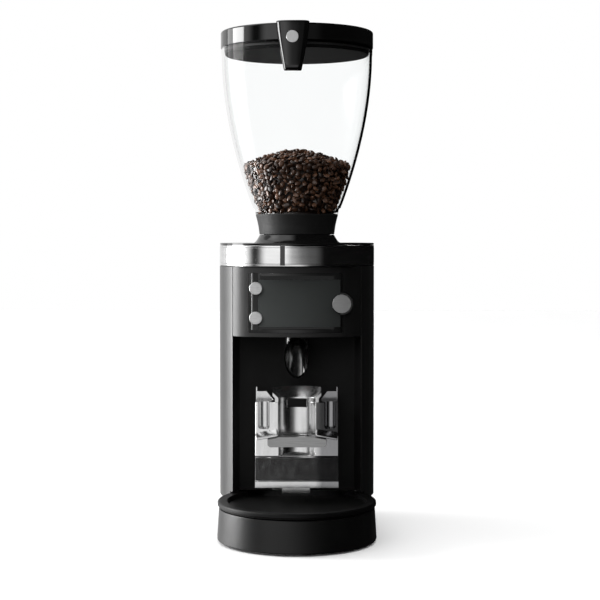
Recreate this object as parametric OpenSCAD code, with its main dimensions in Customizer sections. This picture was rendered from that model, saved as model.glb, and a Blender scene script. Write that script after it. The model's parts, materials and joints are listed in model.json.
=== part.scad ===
// Burr coffee grinder for a coffee bar: flat burrs driven by an upright motor,
// a bean hopper on top, and a fork in a niche that holds a portafilter.
// The front is -Y. The origin is on the floor, under the middle of the footprint.

/* [Stand] */
// Depth of the whole grinder
depth = 330.4; // [329.6:0.4:331.6]
// Radius of the round ends of the base, at the floor
base_r = 108; // [106:0.5:109]
// How far the side of the base leans in, from floor to deck
base_draft = 2.4; // [1:0.2:3]
// Height of the rubber feet that show under the base
foot_show = 2.6; // [2:0.2:3.5]
// Height of the deck that carries the column
deck_z = 46; // [46:0.2:47.4]
// Radius of the grounds tray
tray_r = 107.3; // [106:0.1:107.4]
// Width of the flat rim round the tray
tray_rim_w = 13; // [10:1:15]

/* [Column and head] */
// Radius of the round column and of the adjusting ring
ring_r = 109.7; // [109:0.1:110]
// Wall of the side panels and the rear cover
panel_t = 2.5; // [2:0.1:3]
// Angle from the front to the seam between head and side panel
seam_a = 54.2; // [53:0.2:55]
// Angle from the front to the seam between side panel and rear cover
rear_a = 140; // [135:1:145]
// Height of the underside of the head
head_z = 273.5; // [273:0.5:275]
// Height of the top of the side panels
panel_top = 370; // [369.6:0.1:370]
// Radius of the head's rounded front corners
corner_r = 55; // [50:1:60]
// Angle at which the corner runs into the shallow front
turn_a = 15; // [14:1:17]
// Depth of the wall behind the portafilter, along Y
niche_y = 8; // [7:0.5:8]
// Half the width of the wall behind the portafilter
niche_w = 80.7; // [79:0.5:82]

/* [Display and buttons] */
// Left end of the display glass
glass_x0 = -53; // [-54:0.5:-52]
// Right end of the display glass
glass_x1 = 59.5; // [58:0.5:60]
// Lower edge of the display glass
glass_z0 = 287.6; // [286:0.2:289]
// Upper edge of the display glass
glass_z1 = 352.4; // [351:0.2:354]
// Face of the display glass
glass_y = -31.5; // [-32:0.1:-31]
// Lower edge of the window that the display unit fills
window_z0 = 279.5; // [279:0.5:281]
// Upper edge of the window that the display unit fills
window_z1 = 361.5; // [361:0.5:363]
// Height of the middle of the upper button at the left
upper_button_z = 340.7; // [339:0.1:342]
// Height of the middle of the lower button at the left
lower_button_z = 300.2; // [299:0.1:302]
// How far to the left the two small buttons sit
small_button_x = -56.2; // [-57:0.1:-56]
// How far to the right the large button sits
large_button_x = 61.4; // [61:0.1:62]
// Height of the middle of the large button
large_button_z = 319.5; // [318:0.5:321]
// Diameter of the two round buttons at the left
small_button_d = 17.7; // [16:0.1:18]
// Diameter of the round button at the right
large_button_d = 26; // [24:0.1:26]

/* [Grinding] */
// Outer diameter of the burrs
burr_d = 80; // [78:1:82]
// Gap between the burrs at the resting grind
burr_gap = 0.8; // [0.7:0.1:1]
// Diameter of the drive shaft
shaft_d = 15; // [14:0.5:16]
// Outer diameter of the motor can
motor_d = 90.4; // [88:0.2:90.6]

/* [Hopper] */
// Outer radius of the hopper's mouth
mouth_r = 106.5; // [106:0.1:107]
// Outer radius of the hopper where it leaves its lip
throat_r = 64.2; // [63:0.1:65]
// How fast the hopper's side curves from throat to mouth
hopper_curve = 1.84; // [1.7:0.02:1.95]
// Wall of the hopper
hopper_t = 3.5; // [3:0.1:3.6]
// Height of the middle of the heap of beans
heap_z = 537; // [520:1:538]
// Height at which the heap meets the wall
heap_edge_z = 512; // [500:1:514]
// Radius of the lid
lid_r = 107.9; // [107.5:0.1:108.2]
// Height of the top of the lid
lid_z = 700; // [699:0.5:701]

/* [Portafilter holder] */
// Half the width of the holder
holder_w = 56.6; // [55:0.2:57]
// Radius of the upright trough that the portafilter leans in
trough_r = 29; // [28:0.2:29.4]
// How far in front of the origin the trough's axis stands, along Y
trough_y = -60; // [-60.5:0.5:-59]
// Face of the holder's side blocks
block_y = -46; // [-47:0.5:-45]

/* [Hidden] */
$fn = 96;

// Places that several pieces share
col_y = depth / 2 - ring_r;       // axis of column, burrs, ring and hopper
front_y = base_r - depth / 2;     // axis of the base's round front
eps = 0.01;
gap = 0.4;                        // air between pieces that move apart
fit = 0.05;                       // running fit
cut_z = 57;                       // column is cut away for the tray up to here
head_t = 4;
ring_z0 = panel_top + gap;
ring_z1 = 399.2;
plate_z0 = 399.6;
plate_z1 = 402.4;
neck_z = 414;
collar_z0 = neck_z + gap;
collar_z1 = 443;
lip_z = 452;
mouth_z = 665;
rim_z = 676.6;
bore_r = 43;
spigot_r = 47;
gate_z0 = 424;
gate_z1 = 427;
gate_r = 45;
chamber_z0 = head_z + 3.3;        // underside of the grinding chamber, just above the head's floor
frame_z = chamber_z0 - 8;         // underside of the head plate
burr_split = 312.6;
burr_r = burr_d / 2;
upper_burr_z = burr_split - 0.1 + burr_gap;
shaft_r = shaft_d / 2;
motor_r = motor_d / 2;
motor_z0 = 118;
motor_z1 = frame_z;
deck_hollow = 42;
badge_z = 680;
tray_z0 = deck_z + 1.2;
tray_z1 = 55.4;
tray_floor_z = 50;
block_z0 = 112;                   // lower end of the cradle's blocks
block_z1 = 186;                   // their upper end
block_step_z = 140.6;             // the blocks' faces change here
pocket_x = 45.2;
foot_x = 70;
foot_ys = [-98, 98];

// Curves of the head: a corner arc at each side and one shallow arc between them
corner_x = (ring_r - corner_r) * sin(seam_a);
corner_y = col_y - (ring_r - corner_r) * cos(seam_a);
front_r = corner_r + corner_x / sin(turn_a);
front_cy = corner_y + (front_r - corner_r) * cos(turn_a);
seam_x = ring_r * sin(seam_a);
seam_y = col_y - ring_r * cos(seam_a);

// Points on an arc about [cx, cy]; angles are from the front, turning to the right
function arc(cx, cy, r, a0, a1, n) =
    [for (i = [0:n]) let (a = a0 + (a1 - a0) * i / n) [cx + r * sin(a), cy - r * cos(a)]];

// The head's front outline, moved inwards by d
function head_outline(d) = concat(
    arc(-corner_x, corner_y, corner_r - d, -seam_a, -turn_a, 10),
    arc(0, front_cy, front_r - d, -turn_a, turn_a, 14),
    arc(corner_x, corner_y, corner_r - d, turn_a, seam_a, 10));

// Outer radius of the hopper at height z
function hopper_r(z) =
    mouth_r - (mouth_r - throat_r) * pow((mouth_z - z) / (mouth_z - 457), hopper_curve);

module about_column(z) translate([0, col_y, z]) children();

module tube(r_in, r_out, h) difference() {
    cylinder(h = h, r = r_out);
    translate([0, 0, -1]) cylinder(h = h + 2, r = r_in);
}

// A piece of the round column between two angles from the front
module shell_piece(a0, a1, z0, z1) about_column(z0)
    rotate([0, 0, a0 - 90])
        rotate_extrude(angle = a1 - a0)
            translate([ring_r - panel_t, 0])
                square([panel_t, z1 - z0]);

// A block along X whose outline lies in the YZ plane
module along_x(x0, x1) translate([x0, 0, 0])
    rotate([90, 0, 90])
        linear_extrude(x1 - x0)
            children();

// A plate along Y whose outline lies in the XZ plane
module along_y(y0, y1) translate([0, y1, 0])
    rotate([90, 0, 0])
        linear_extrude(y1 - y0)
            children();

// ---- Base ----

// A solid with round ends and leaning sides, r0 at z0 and r1 at z1
module capsule(r0, r1, z0, z1) {
    for (y = [front_y, -front_y]) translate([0, y, z0]) cylinder(h = z1 - z0, r1 = r0, r2 = r1);
    along_y(front_y, -front_y) polygon([[-r0, z0], [r0, z0], [r1, z1], [-r1, z1]]);
}

module at_feet() for (x = [-foot_x, foot_x], y = foot_ys) translate([x, y, 0]) children();

module at_base_screws() for (x = [-45, 45], y = [-110, 0, 110]) translate([x, y, 0]) children();

module base_casting() color("#1b1b1c") difference() {
    capsule(base_r, base_r - base_draft, foot_show, deck_z);
    difference() {
        capsule(base_r - 6, base_r - 7, foot_show - 1, deck_hollow);
        at_base_screws() translate([0, 0, 8]) cylinder(h = deck_z, r = 6);
        // wall behind the mains entry
        translate([-58, 138, 0]) cube([116, 30, deck_z]);
    }
    at_base_screws() translate([0, 0, 7]) cylinder(h = 22, r = 2 + fit);
    // cable way up into the column
    about_column(deck_hollow - 1) cylinder(h = 10, r = 60);
    // recess for the mains inlet and the switch
    translate([-50, 146, 10]) cube([100, 30, 28]);
}

module base_plate() color("#8c8f92") difference() {
    intersection() {
        capsule(base_r - 6.6, base_r - 6.6, 5, 7.5);
        translate([-120, -170, 0]) cube([240, 170 + 137.5, 20]);
    }
    at_base_screws() translate([0, 0, 4]) cylinder(h = 5, r = 2 + fit);
}

module rubber_feet() color("#141414") at_feet() cylinder(h = 5, r1 = 12, r2 = 13);

module base_screws() color("#b9bcc0") at_base_screws() {
    translate([0, 0, 2.8]) cylinder(h = 2.2, r = 3.8);
    translate([0, 0, 4.9]) cylinder(h = 18, r = 2);
}

module tray_outline(d) intersection() {
    translate([0, front_y]) circle(r = tray_r - d);
    translate([-120, -200]) square([240, 200 + niche_y - 0.6 - d]);
}

module drip_tray() color("#222224") difference() {
    translate([0, 0, tray_z0]) linear_extrude(tray_z1 - tray_z0) tray_outline(0);
    translate([0, 0, tray_floor_z]) linear_extrude(9) tray_outline(tray_rim_w);
}

// ---- Column and head ----

module tray_way() translate([0, front_y, deck_z - 1]) cylinder(h = cut_z - deck_z + 1, r = tray_r + gap);

module side_panel_right() color("#26272a") difference() {
    shell_piece(seam_a, rear_a - 0.3, deck_z, panel_top);
    tray_way();
}

module side_panel_left() mirror([1, 0, 0]) side_panel_right();

module rear_cover() color("#1d1e20") difference() {
    shell_piece(rear_a, 360 - rear_a, deck_z, panel_top);
    for (i = [0:11], j = [0, 1]) translate([0, col_y, 0])
        rotate([0, 0, (i - 5.5) * 4.6])
            translate([-1.6, 100, 84 + j * 200]) cube([3.2, 20, 46]);
}

// Plan of the niche wall: slanted returns at both sides of a flat back
function niche_plan(d) = [
    [-seam_x + 0.6, seam_y + d], [-niche_w - d, niche_y + d],
    [niche_w + d, niche_y + d], [seam_x - 0.6, seam_y + d]];

// The sheet stops just inside the side panels
module front_panel() color("#161617") translate([0, 0, cut_z]) linear_extrude(head_z - 0.3 - cut_z) {
    intersection() {
        difference() {
            polygon(concat(niche_plan(1.5), [[seam_x - 0.6, seam_y], [-seam_x + 0.6, seam_y]]));
            polygon(concat(niche_plan(0), [[seam_x, seam_y - 9], [-seam_x, seam_y - 9]]));
        }
        translate([0, col_y]) circle(r = ring_r - panel_t - 0.1, $fn = 360);
    }
}

module spout_axis() translate([0, -32, 220]) rotate([-18, 0, 0]) children();

module head_cover() color("#1a1a1b") difference() {
    translate([0, 0, head_z]) linear_extrude(panel_top - head_z)
        polygon(concat(head_outline(0), [[niche_w, niche_y - 0.3], [-niche_w, niche_y - 0.3]]));
    // hollow, open towards the column
    translate([0, 0, head_z + 3]) linear_extrude(200)
        polygon(concat(head_outline(head_t), [[seam_x - head_t, 40], [-seam_x + head_t, 40]]));
    // window for the display unit
    translate([-66.5, -60, window_z0]) cube([129, 45, window_z1 - window_z0]);
    translate([large_button_x, -60, large_button_z]) rotate([-90, 0, 0]) cylinder(h = 46, r = 16);
    spout_axis() translate([0, 0, 40]) cylinder(h = 30, r = 18);
    about_column(head_z - 1) cylinder(h = 5, r = 60.5);
    // room for the front edges of the side panels
    for (m = [0, 1]) mirror([m, 0, 0]) about_column(head_z - 1)
        rotate([0, 0, seam_a - 90.2]) rotate_extrude(angle = 6)
            translate([ring_r - panel_t - 0.2, 0]) square([panel_t + 3, 110]);
}

// An axis that runs back along Y from the large button's middle
module at_large_button(y) translate([large_button_x, y, large_button_z]) rotate([-90, 0, 0]) children();

module display_bezel() color("#0e0e0f") difference() {
    union() {
        intersection() {
            linear_extrude(600) polygon(concat(head_outline(0.2), [[80, 0], [-80, 0]]));
            translate([-66.2, -60, window_z0 + 0.3]) cube([128.4, 36, window_z1 - window_z0 - 0.6]);
        }
        at_large_button(glass_y) cylinder(h = 8, r = 15.7);
    }
    // bevelled pocket round the glass
    along_x(-58.7, glass_x1) polygon([
        [glass_y, glass_z0], [-39, 280.6], [-39, 360.2], [glass_y, glass_z1]]);
    translate([glass_x0 - 0.1, glass_y - 1, glass_z0 - 0.1])
        cube([glass_x1 - glass_x0 + 0.2, 20, glass_z1 - glass_z0 + 0.2]);
    // groove beside the rail
    translate([-60.5, -45, 283.5]) cube([7.6, 16, 78.5]);
    translate([-66.3, -45, 283.4]) cube([6, 16, 78.7]);
    for (z = [upper_button_z, lower_button_z]) translate([small_button_x, -40, z])
        rotate([-90, 0, 0]) cylinder(h = 30, r = 3 + gap);
    // room for the large button and the bore behind it
    at_large_button(-45) cylinder(h = 13.4, r = large_button_d / 2 + 0.5);
    translate([66, -40, large_button_z]) rotate([-90, 0, 0]) cylinder(h = 30, r = 3 + gap);
    // room for the exit chute
    translate([-18.4, -26.4, 270]) cube([36.8, 5, 20]);
}

module bezel_rail() color("#8d9092") translate([-62.2, -32, 283.6]) cube([2.8, 2.9, 78.3]);

module display_glass() color("#2c3231") translate([glass_x0, glass_y, glass_z0])
    cube([glass_x1 - glass_x0, 2, glass_z1 - glass_z0]);

module display_board() color("#1c4a2c") {
    translate([glass_x0 + 2, glass_y + 2, glass_z0 + 2])
        cube([glass_x1 - glass_x0 - 4, 1.6, glass_z1 - glass_z0 - 4]);
    for (x = [-40, 10, 44]) translate([x, glass_y + 3.6, 340]) cube([10, 1.2, 8]);
}

// A flat round button with its stem, whose middle stands at x and z
module round_button(x, z, d, stem_x) color("#a9abad") {
    translate([x, -36, z]) rotate([-90, 0, 0]) cylinder(h = 2.6, r = d / 2);
    translate([stem_x, -33.5, z]) rotate([-90, 0, 0]) cylinder(h = 7.5, r = 3);
}

module button_upper() round_button(small_button_x, upper_button_z, small_button_d, small_button_x);
module button_lower() round_button(small_button_x, lower_button_z, small_button_d, small_button_x);
module button_side() round_button(large_button_x, large_button_z, large_button_d, 66);

// ---- Frame, motor and shaft ----

module at_posts() for (a = [75, 125, 235, 285]) about_column(0)
    rotate([0, 0, a - 90]) translate([92, 0, 0]) children();

module head_plate() color("#9a9d9f") about_column(frame_z) difference() {
    cylinder(h = 8, r = 104);
    translate([0, 0, -1]) cylinder(h = 10, r = 16);
    // clear of the wall behind the portafilter and the chute
    translate([-120, -140, -1]) cube([240, 140 - col_y + niche_y + 2, 10]);
}

module column_posts() color("#7d8083") at_posts() {
    translate([-6, -6, deck_z]) cube([12, 12, frame_z - deck_z]);
}

module motor_can() color("#5f6265") about_column(motor_z0) tube(motor_r - 1.4, motor_r, motor_z1 - motor_z0);

module motor_stator() color("#6b6e72") about_column(150) difference() {
    cylinder(h = 80, r = motor_r - 1.5);
    translate([0, 0, -1]) cylinder(h = 82, r = 27);
    for (i = [0:11]) rotate([0, 0, i * 30]) translate([26, -2, -1]) cube([9, 4, 82]);
}

module motor_windings() color("#b5652a") {
    about_column(230.2) tube(29, 41, 18);
    about_column(131.8) tube(29, 41, 18);
}

// Heights of the two ends of the motor, where the shields hold the bearings
motor_ends = [motor_z0, motor_z1 - 9];

module motor_end_shields() color("#8f9294") for (z = motor_ends) about_column(z) difference() {
    cylinder(h = 9, r = motor_r - 1.5);
    translate([0, 0, -1]) cylinder(h = 11, r = 15);
    for (i = [0:5]) rotate([0, 0, i * 60]) translate([29, 0, -1]) cylinder(h = 11, r = 6);
}

module motor_bearings() color("#c9ccd0") for (z = motor_ends) about_column(z)
    tube(shaft_r + fit, 15 - fit, 9);

module drive_shaft() color("#b4b7ba") about_column(88) cylinder(h = 305 - 88, r = shaft_r);

module motor_rotor() color("#54575a") about_column(150) difference() {
    cylinder(h = 80, r = 26.4);
    translate([0, 0, -1]) cylinder(h = 82, r = shaft_r);
}

module cooling_fan() color("#303236") about_column(96) {
    tube(shaft_r, 14, 14);
    tube(13.9, 40, 2);
    for (i = [0:8]) rotate([0, 0, i * 40]) translate([13.5, -1, 1.9]) cube([26, 2, 12]);
}

// ---- Grinding ----

module grinding_chamber() color("#a7aaad") difference() {
    about_column(chamber_z0) cylinder(h = burr_split - chamber_z0, r = 60);
    about_column(chamber_z0 + 3) cylinder(h = 60, r = 47);
    about_column(chamber_z0 - 1) cylinder(h = 20, r = shaft_r + 0.6);
    // way out to the chute
    translate([-15.5, -20, chamber_z0 + 3]) cube([31, col_y - 20, 18.7]);
    // flat at the front, where the chute is bolted on
    translate([-70, -40, chamber_z0 - 1]) cube([140, 40 - 4.4, 60]);
}

module burr_housing() color("#9fa2a5") difference() {
    about_column(burr_split) {
        tube(50 + fit, 60, 384 - burr_split);
        // three posts carry the top plate, and the carrier's keys pass between them
        for (i = [0:2]) rotate([0, 0, 120 * i - 12 - 90 + 60])
            rotate_extrude(angle = 24) translate([52, 0]) square([8, plate_z0 - burr_split]);
    }
    translate([-70, -40, burr_split - 1]) cube([140, 40 - 4.4, 30]);
}

module exit_chute() color("#1c1c1d") difference() {
    translate([-18, -26, head_z + 3.2]) cube([36, 21.5, 25.2]);
    translate([-15.5, -23.6, head_z - 5]) cube([31, 40, 31]);
    spout_axis() translate([0, 0, 30]) cylinder(h = 29, r = 18);
}

module clump_flap() color("#b9442c") translate([-15, -9, 282]) cube([30, 1.2, 16]);

module burr_ring(r_in, z, h) about_column(z) difference() {
    cylinder(h = h, r = burr_r);
    translate([0, 0, -1]) cylinder(h = h + 2, r = r_in);
}

module lower_burr_carrier() color("#8a8d90") {
    about_column(299) tube(shaft_r, 44, 6);
    about_column(285) tube(shaft_r, 14, 14.1);
    about_column(280.4) for (i = [0:2]) rotate([0, 0, 120 * i + 20])
        translate([13, -2, 0]) cube([32.5, 4, 18.7]);
}

module lower_burr() color("#d0d2d4") difference() {
    burr_ring(24, 305, burr_split - 0.1 - 305);
    about_column(311) for (i = [0:11]) rotate([0, 0, 30 * i + 12])
        translate([25, -6, 0]) cube([18, 1.4, 3]);
}

module shaft_nut() color("#c2c5c8") about_column(305) {
    cylinder(h = 9, r = 11);
    translate([0, 0, 9]) cylinder(h = 9, r1 = 11, r2 = 3);
}

module upper_burr() color("#d0d2d4") difference() {
    burr_ring(26, upper_burr_z, 321 - upper_burr_z);
    about_column(upper_burr_z - 1) for (i = [0:11]) rotate([0, 0, 30 * i])
        translate([27, 5, 0]) cube([16, 1.4, 2.2]);
}

module upper_burr_carrier() color("#84878a") difference() {
    union() {
        about_column(321) cylinder(h = 76, r = 50);
        // keys that the adjusting ring turns
        about_column(386) for (i = [0:2]) rotate([0, 0, 120 * i - 90])
            translate([45, -5, 0]) cube([19.5, 10, 8]);
    }
    about_column(320) cylinder(h = 80, r = 26);
    about_column(340) cylinder(h = 20, r1 = 26, r2 = 44);
    about_column(359.9) cylinder(h = 50, r = 44);
}

module adjusting_ring() color("#c8cacc") difference() {
    about_column(0) rotate_extrude() polygon([
        [61, 380], [106, 380], [106, ring_z0], [ring_r - 1, ring_z0], [ring_r, ring_z0 + 1],
        [ring_r, ring_z1 - 1], [ring_r - 1, ring_z1], [106, ring_z1], [106, 384], [68, 384],
        [68, 397], [61, 397]]);
    about_column(384) for (i = [0:2]) rotate([0, 0, 120 * i - 90])
        translate([55, -5.2, 0]) cube([10.5, 10.4, 20]);
    // index slot
    about_column(ring_z0 - 1) rotate([0, 0, -9]) translate([-3, -ring_r - 1, 0]) cube([3, 3.2, 32]);
}

module top_plate() color("#151516") about_column(plate_z0) tube(spigot_r + 0.6, ring_r, plate_z1 - plate_z0);

module neck_flange() color("#121213") about_column(0) rotate_extrude() polygon([
    [spigot_r + 0.6, plate_z1], [60, plate_z1], [58.5, 404.4], [56.4, 407.4],
    [54.6, 410.4], [53, neck_z], [spigot_r + 0.6, neck_z]]);

// ---- Hopper ----

module hopper_collar() color("#1c1c1e") difference() {
    about_column(0) rotate_extrude() polygon([
        [bore_r, 403.4], [spigot_r, 403.4], [spigot_r, collar_z0], [53.2, collar_z0],
        [54.9, 427], [56.4, 434], [58.5, collar_z1], [50.8, collar_z1], [50.8, 434], [bore_r, 434]]);
    // slot for the gate, open to the rear
    translate([-gate_r - gap, col_y, gate_z0 - gap])
        cube([2 * (gate_r + gap), 80, gate_z1 - gate_z0 + 2 * gap]);
    about_column(gate_z0 - gap) cylinder(h = gate_z1 - gate_z0 + 2 * gap, r = gate_r + gap);
}

module hopper_gate() color("#3a3b3d") about_column(gate_z0) {
    cylinder(h = gate_z1 - gate_z0, r = gate_r);
    translate([-20, 0, 0]) cube([40, 66, gate_z1 - gate_z0]);
    translate([-20, 62, 0]) cube([40, 4, 9]);
}

module hopper_shell() color([0.9, 0.94, 0.96, 0.35]) about_column(0) rotate_extrude() polygon(concat(
    [[47, 434.3], [50.4, 434.3], [50.4, 443.3], [58.6, 443.3], [59.4, 450], [62.3, lip_z], [62.5, 454.5]],
    [for (z = [457:13:mouth_z]) [hopper_r(z), z]],
    [[mouth_r + 0.5, 670], [mouth_r + 0.5, rim_z], [103.4, rim_z], [103.2, mouth_z]],
    [for (z = [652:-13:457]) [hopper_r(z) - hopper_t, z]],
    [[55.5, 449], [55, 447], [47, 445]]));

module coffee_beans() color("#3b2415") about_column(0) rotate_extrude() polygon(concat(
    [[0, gate_z1 + 0.6], [42.6, gate_z1 + 0.6], [42.6, 434.6], [46.6, 435], [46.6, 445.4], [54.5, 447.4]],
    [for (z = [457:11:heap_edge_z]) [hopper_r(z) - hopper_t - 0.4, z]],
    [for (i = [4:-1:0]) [(hopper_r(heap_edge_z) - hopper_t - 4) * i / 5,
        heap_z - (heap_z - heap_edge_z) * pow(i / 5, 2)]]));

module hopper_lid() color("#101011") about_column(0) rotate_extrude() polygon([
    [0, lid_z - 3], [lid_r - 3.4, lid_z - 3], [lid_r - 3.4, rim_z + gap], [lid_r, rim_z + gap],
    [lid_r, lid_z - 2.5], [lid_r - 0.8, lid_z - 0.7], [lid_r - 2.6, lid_z], [0, lid_z]]);

module lid_liner() color("#161617") about_column(0) rotate_extrude() polygon([
    [0, 667.2], [101, 667.2], [102, 668.2], [102, 671.6], [100.4, 671.6], [100.4, 674.4],
    [102, 674.4], [102, 677], [99, 677], [99, lid_z - 3], [96.5, lid_z - 3], [96.5, 669.7], [0, 669.7]]);

module lid_seal() color("#2f2f31") about_column(671.6) tube(100.4, 103, 2.8);

// Everything on the tab is turned a little to the left of the front
module at_tab() about_column(0) rotate([0, 0, -3]) children();

module badge_disc(r, back) at_tab() translate([0, -lid_r - 8.7, badge_z])
    rotate([-90, 0, 0]) cylinder(h = 8.7 - back, r = r);

module lid_tab() color("#0f0f10") difference() {
    at_tab() {
        translate([0, 0, rim_z + gap]) rotate([0, 0, -90 - 11.6])
            rotate_extrude(angle = 23.2) translate([lid_r + eps, 0]) square([6.6, 702 - rim_z - gap]);
        intersection() {
            along_y(-117, -lid_r - 0.6) polygon([[-11, 634], [11, 634], [18, 677.2], [-18, 677.2]]);
            cylinder(h = 800, r = 116.4);
        }
    }
    badge_disc(8.5, 5.8);
}

module lid_badge() color("#c9cbcd") badge_disc(8.4, 5.8);

// ---- Spout and portafilter holder ----

module spout() color("#c4c7c9") difference() {
    spout_axis() cylinder(h = 58, r = 17.4);
    spout_axis() translate([0, 0, -1]) cylinder(h = 60, r = 15.4);
    // cut back from the front edge at the head to the lip at the rear
    translate([-30, -16, 219]) rotate([15.5, 0, 0]) translate([0, -60, -20]) cube([60, 60, 90]);
    translate([-30, -60, head_z + 2.6]) cube([60, 90, 30]);
}

module holder_rail() color("#6c6f72") translate([-15, -3, 78]) cube([30, 10.9, 118]);

// Upright outline of the holder's back, with a chamfered ear at each side
module bracket_outline() difference() {
    translate([-holder_w, 71.5]) square([2 * holder_w, 132.5]);
    polygon([[-33, 182], [-33, 186.6], [-42, 198], [-54.6, 198], [-54.6, 205], [54.6, 205], [54.6, 198],
        [42, 198], [33, 186.6], [33, 182]]);
}

module holder_bracket() color("#b7babd") {
    along_y(-12, -8) bracket_outline();
    for (x = [-22, 15.4]) translate([x, -8.1, 84]) cube([6.6, 9, 100]);
    // foot under the holder
    translate([-20, -52, 62.6]) cube([38, 44, 7.6]);
    translate([-20, -12, 62.6]) cube([38, 4, 12]);
    // lug that the thumbscrew turns in
    difference() {
        translate([-34, -12, 60]) cube([14, 4, 14]);
        translate([-27, -20, 66.4]) rotate([-90, 0, 0]) cylinder(h = 20, r = 2 + fit);
    }
}

// Plan of the cradle from the trough's axis to the back; side is how far the outer ends are set back
module cradle_plan(face, side) difference() {
    polygon([[-holder_w, -12.1], [-holder_w, face + side], [-25.4, face], [25.4, face],
        [holder_w, face + side], [holder_w, -12.1]]);
    translate([0, trough_y]) circle(r = trough_r);
}

module holder_cradle() color("#c3c6c8") difference() {
    union() {
        translate([0, 0, block_z0]) linear_extrude(block_step_z - block_z0) cradle_plan(-44.5, 0);
        translate([0, 0, block_step_z - eps]) linear_extrude(block_z1 - block_step_z + eps)
            cradle_plan(block_y, 6.4);
        // flared lips at the foot of the upper faces, lower towards the outer ends
        for (m = [0, 1]) mirror([m, 0, 0]) translate([26, 0, block_step_z]) rotate([0, 10.2, 0])
            along_x(0, 31) polygon([[-42, 0], [-56, 0], [-56, 3], [-46.5, 8.9], [-42, 8.9]]);
        // floor of the trough, rising to the back
        along_x(-25, 25) polygon([[-44, block_z0], [-44, block_z0 + 0.6], [-30, 116.6], [-14, 116.6],
            [-14, block_z0]]);
        // dish that flares out above the trough and catches stray grounds
        intersection() {
            translate([0, trough_y, block_z1 - 0.1]) union() {
                cylinder(h = 6.1, r = trough_r + 4);
                translate([0, 0, 6.1]) cylinder(h = 14, r1 = trough_r + 4, r2 = trough_r + 15.5);
            }
            translate([-holder_w, block_y, 180]) cube([2 * holder_w, -12.1 - block_y, 40]);
        }
    }
    translate([0, trough_y, block_z1 - 10]) cylinder(h = 100, r = trough_r);
    translate([0, trough_y, 192]) cylinder(h = 14.01, r1 = trough_r, r2 = trough_r + 13);
    for (s = [-1, 1]) translate([s * pocket_x, -42.5, 149]) cylinder(h = 60, r = 8);
    // room for the button in the back of the trough
    translate([-14, -38, 177.8]) cube([28, 18.5, 12.2]);
}

module fork_bar() color("#9da0a2") {
    along_y(-56, -46) polygon([[-40, 129], [-37, 126], [37, 126], [40, 129], [40, 136.6], [26, 139],
        [26, 140], [-26, 140], [-26, 139], [-40, 136.6]]);
    // studs that fix the bar to the blocks
    for (s = [-1, 1]) translate([s * 33, -46.1, 131]) rotate([-90, 0, 0]) cylinder(h = 1.6, r = 3);
}

module holder_apron() color("#5b5e60") along_x(-holder_w, holder_w) polygon([
    [-12.1, block_z0], [-12.1, 109], [-46, 109], [-48.5, 107], [-60.5, 79], [-60.5, 71.5],
    [-64, 71.5], [-64, 81.1], [-61.5, 81.5], [-50, 111], [-48, block_z0]]);

module start_button() color("#0c0c0d") translate([-13.2, -36.5, 178.7]) cube([26.4, 14.5, 10.4]);

module thumbscrew() color("#cfd1d3") translate([-27, -24, 66.4]) rotate([-90, 0, 0]) {
    cylinder(h = 7, r = 4.4);
    cylinder(h = 19, r = 2);
}

// ---- Electrics ----

module control_board() color("#1d4d2e") {
    translate([-48, 124, 90]) cube([96, 1.8, 150]);
    translate([-30, 112, 110]) cube([26, 12, 30]);
    translate([12, 124, 190]) rotate([90, 0, 0]) cylinder(h = 18, r = 12);
}

module mains_entry() color("#202022") difference() {
    translate([-46, 146, 12]) cube([92, 5, 24]);
    // well of the inlet
    translate([-40, 147, 14]) cube([34, 30, 20]);
    // slot of the switch
    translate([20, 147, 14]) cube([16, 30, 20]);
}

// Rocker, shown pressed at its lower end
module power_switch() color("#3a3b3d") translate([0, 150, 24]) rotate([-8, 0, 0]) {
    along_x(22, 34) polygon([[-1, -6], [-1, 6], [4, 7.8], [2.4, 0], [4, -7.8]]);
    // pivot pins at both ends
    translate([20.2, 0, 0]) rotate([0, 90, 0]) cylinder(h = 15.6, r = 1.5);
}

base_casting();
base_plate();
rubber_feet();
base_screws();
drip_tray();
side_panel_left();
side_panel_right();
rear_cover();
front_panel();
head_cover();
display_bezel();
bezel_rail();
display_glass();
display_board();
button_upper();
button_lower();
button_side();
head_plate();
column_posts();
motor_can();
motor_stator();
motor_windings();
motor_end_shields();
motor_bearings();
drive_shaft();
motor_rotor();
cooling_fan();
grinding_chamber();
burr_housing();
exit_chute();
clump_flap();
lower_burr_carrier();
lower_burr();
shaft_nut();
upper_burr();
upper_burr_carrier();
adjusting_ring();
top_plate();
neck_flange();
hopper_collar();
hopper_gate();
hopper_shell();
coffee_beans();
hopper_lid();
lid_liner();
lid_seal();
lid_tab();
lid_badge();
spout();
holder_rail();
holder_bracket();
holder_cradle();
fork_bar();
holder_apron();
start_button();
thumbscrew();
control_board();
mains_entry();
power_switch();
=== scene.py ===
# %% [markdown]
# # A burr coffee grinder, modelled around its CAD frame
# The grinder stands on a round black base. A round column carries a head with a display, a chrome ring that
# sets the grind, and a clear hopper of coffee beans. A portafilter holder of polished steel hangs in a niche
# under the spout. The CAD frame gives every size and place, and this script gives the surfaces.

# %% Load the frame
import json
import math
import random

import bmesh
import bpy
from mathutils import Matrix, Vector

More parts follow.
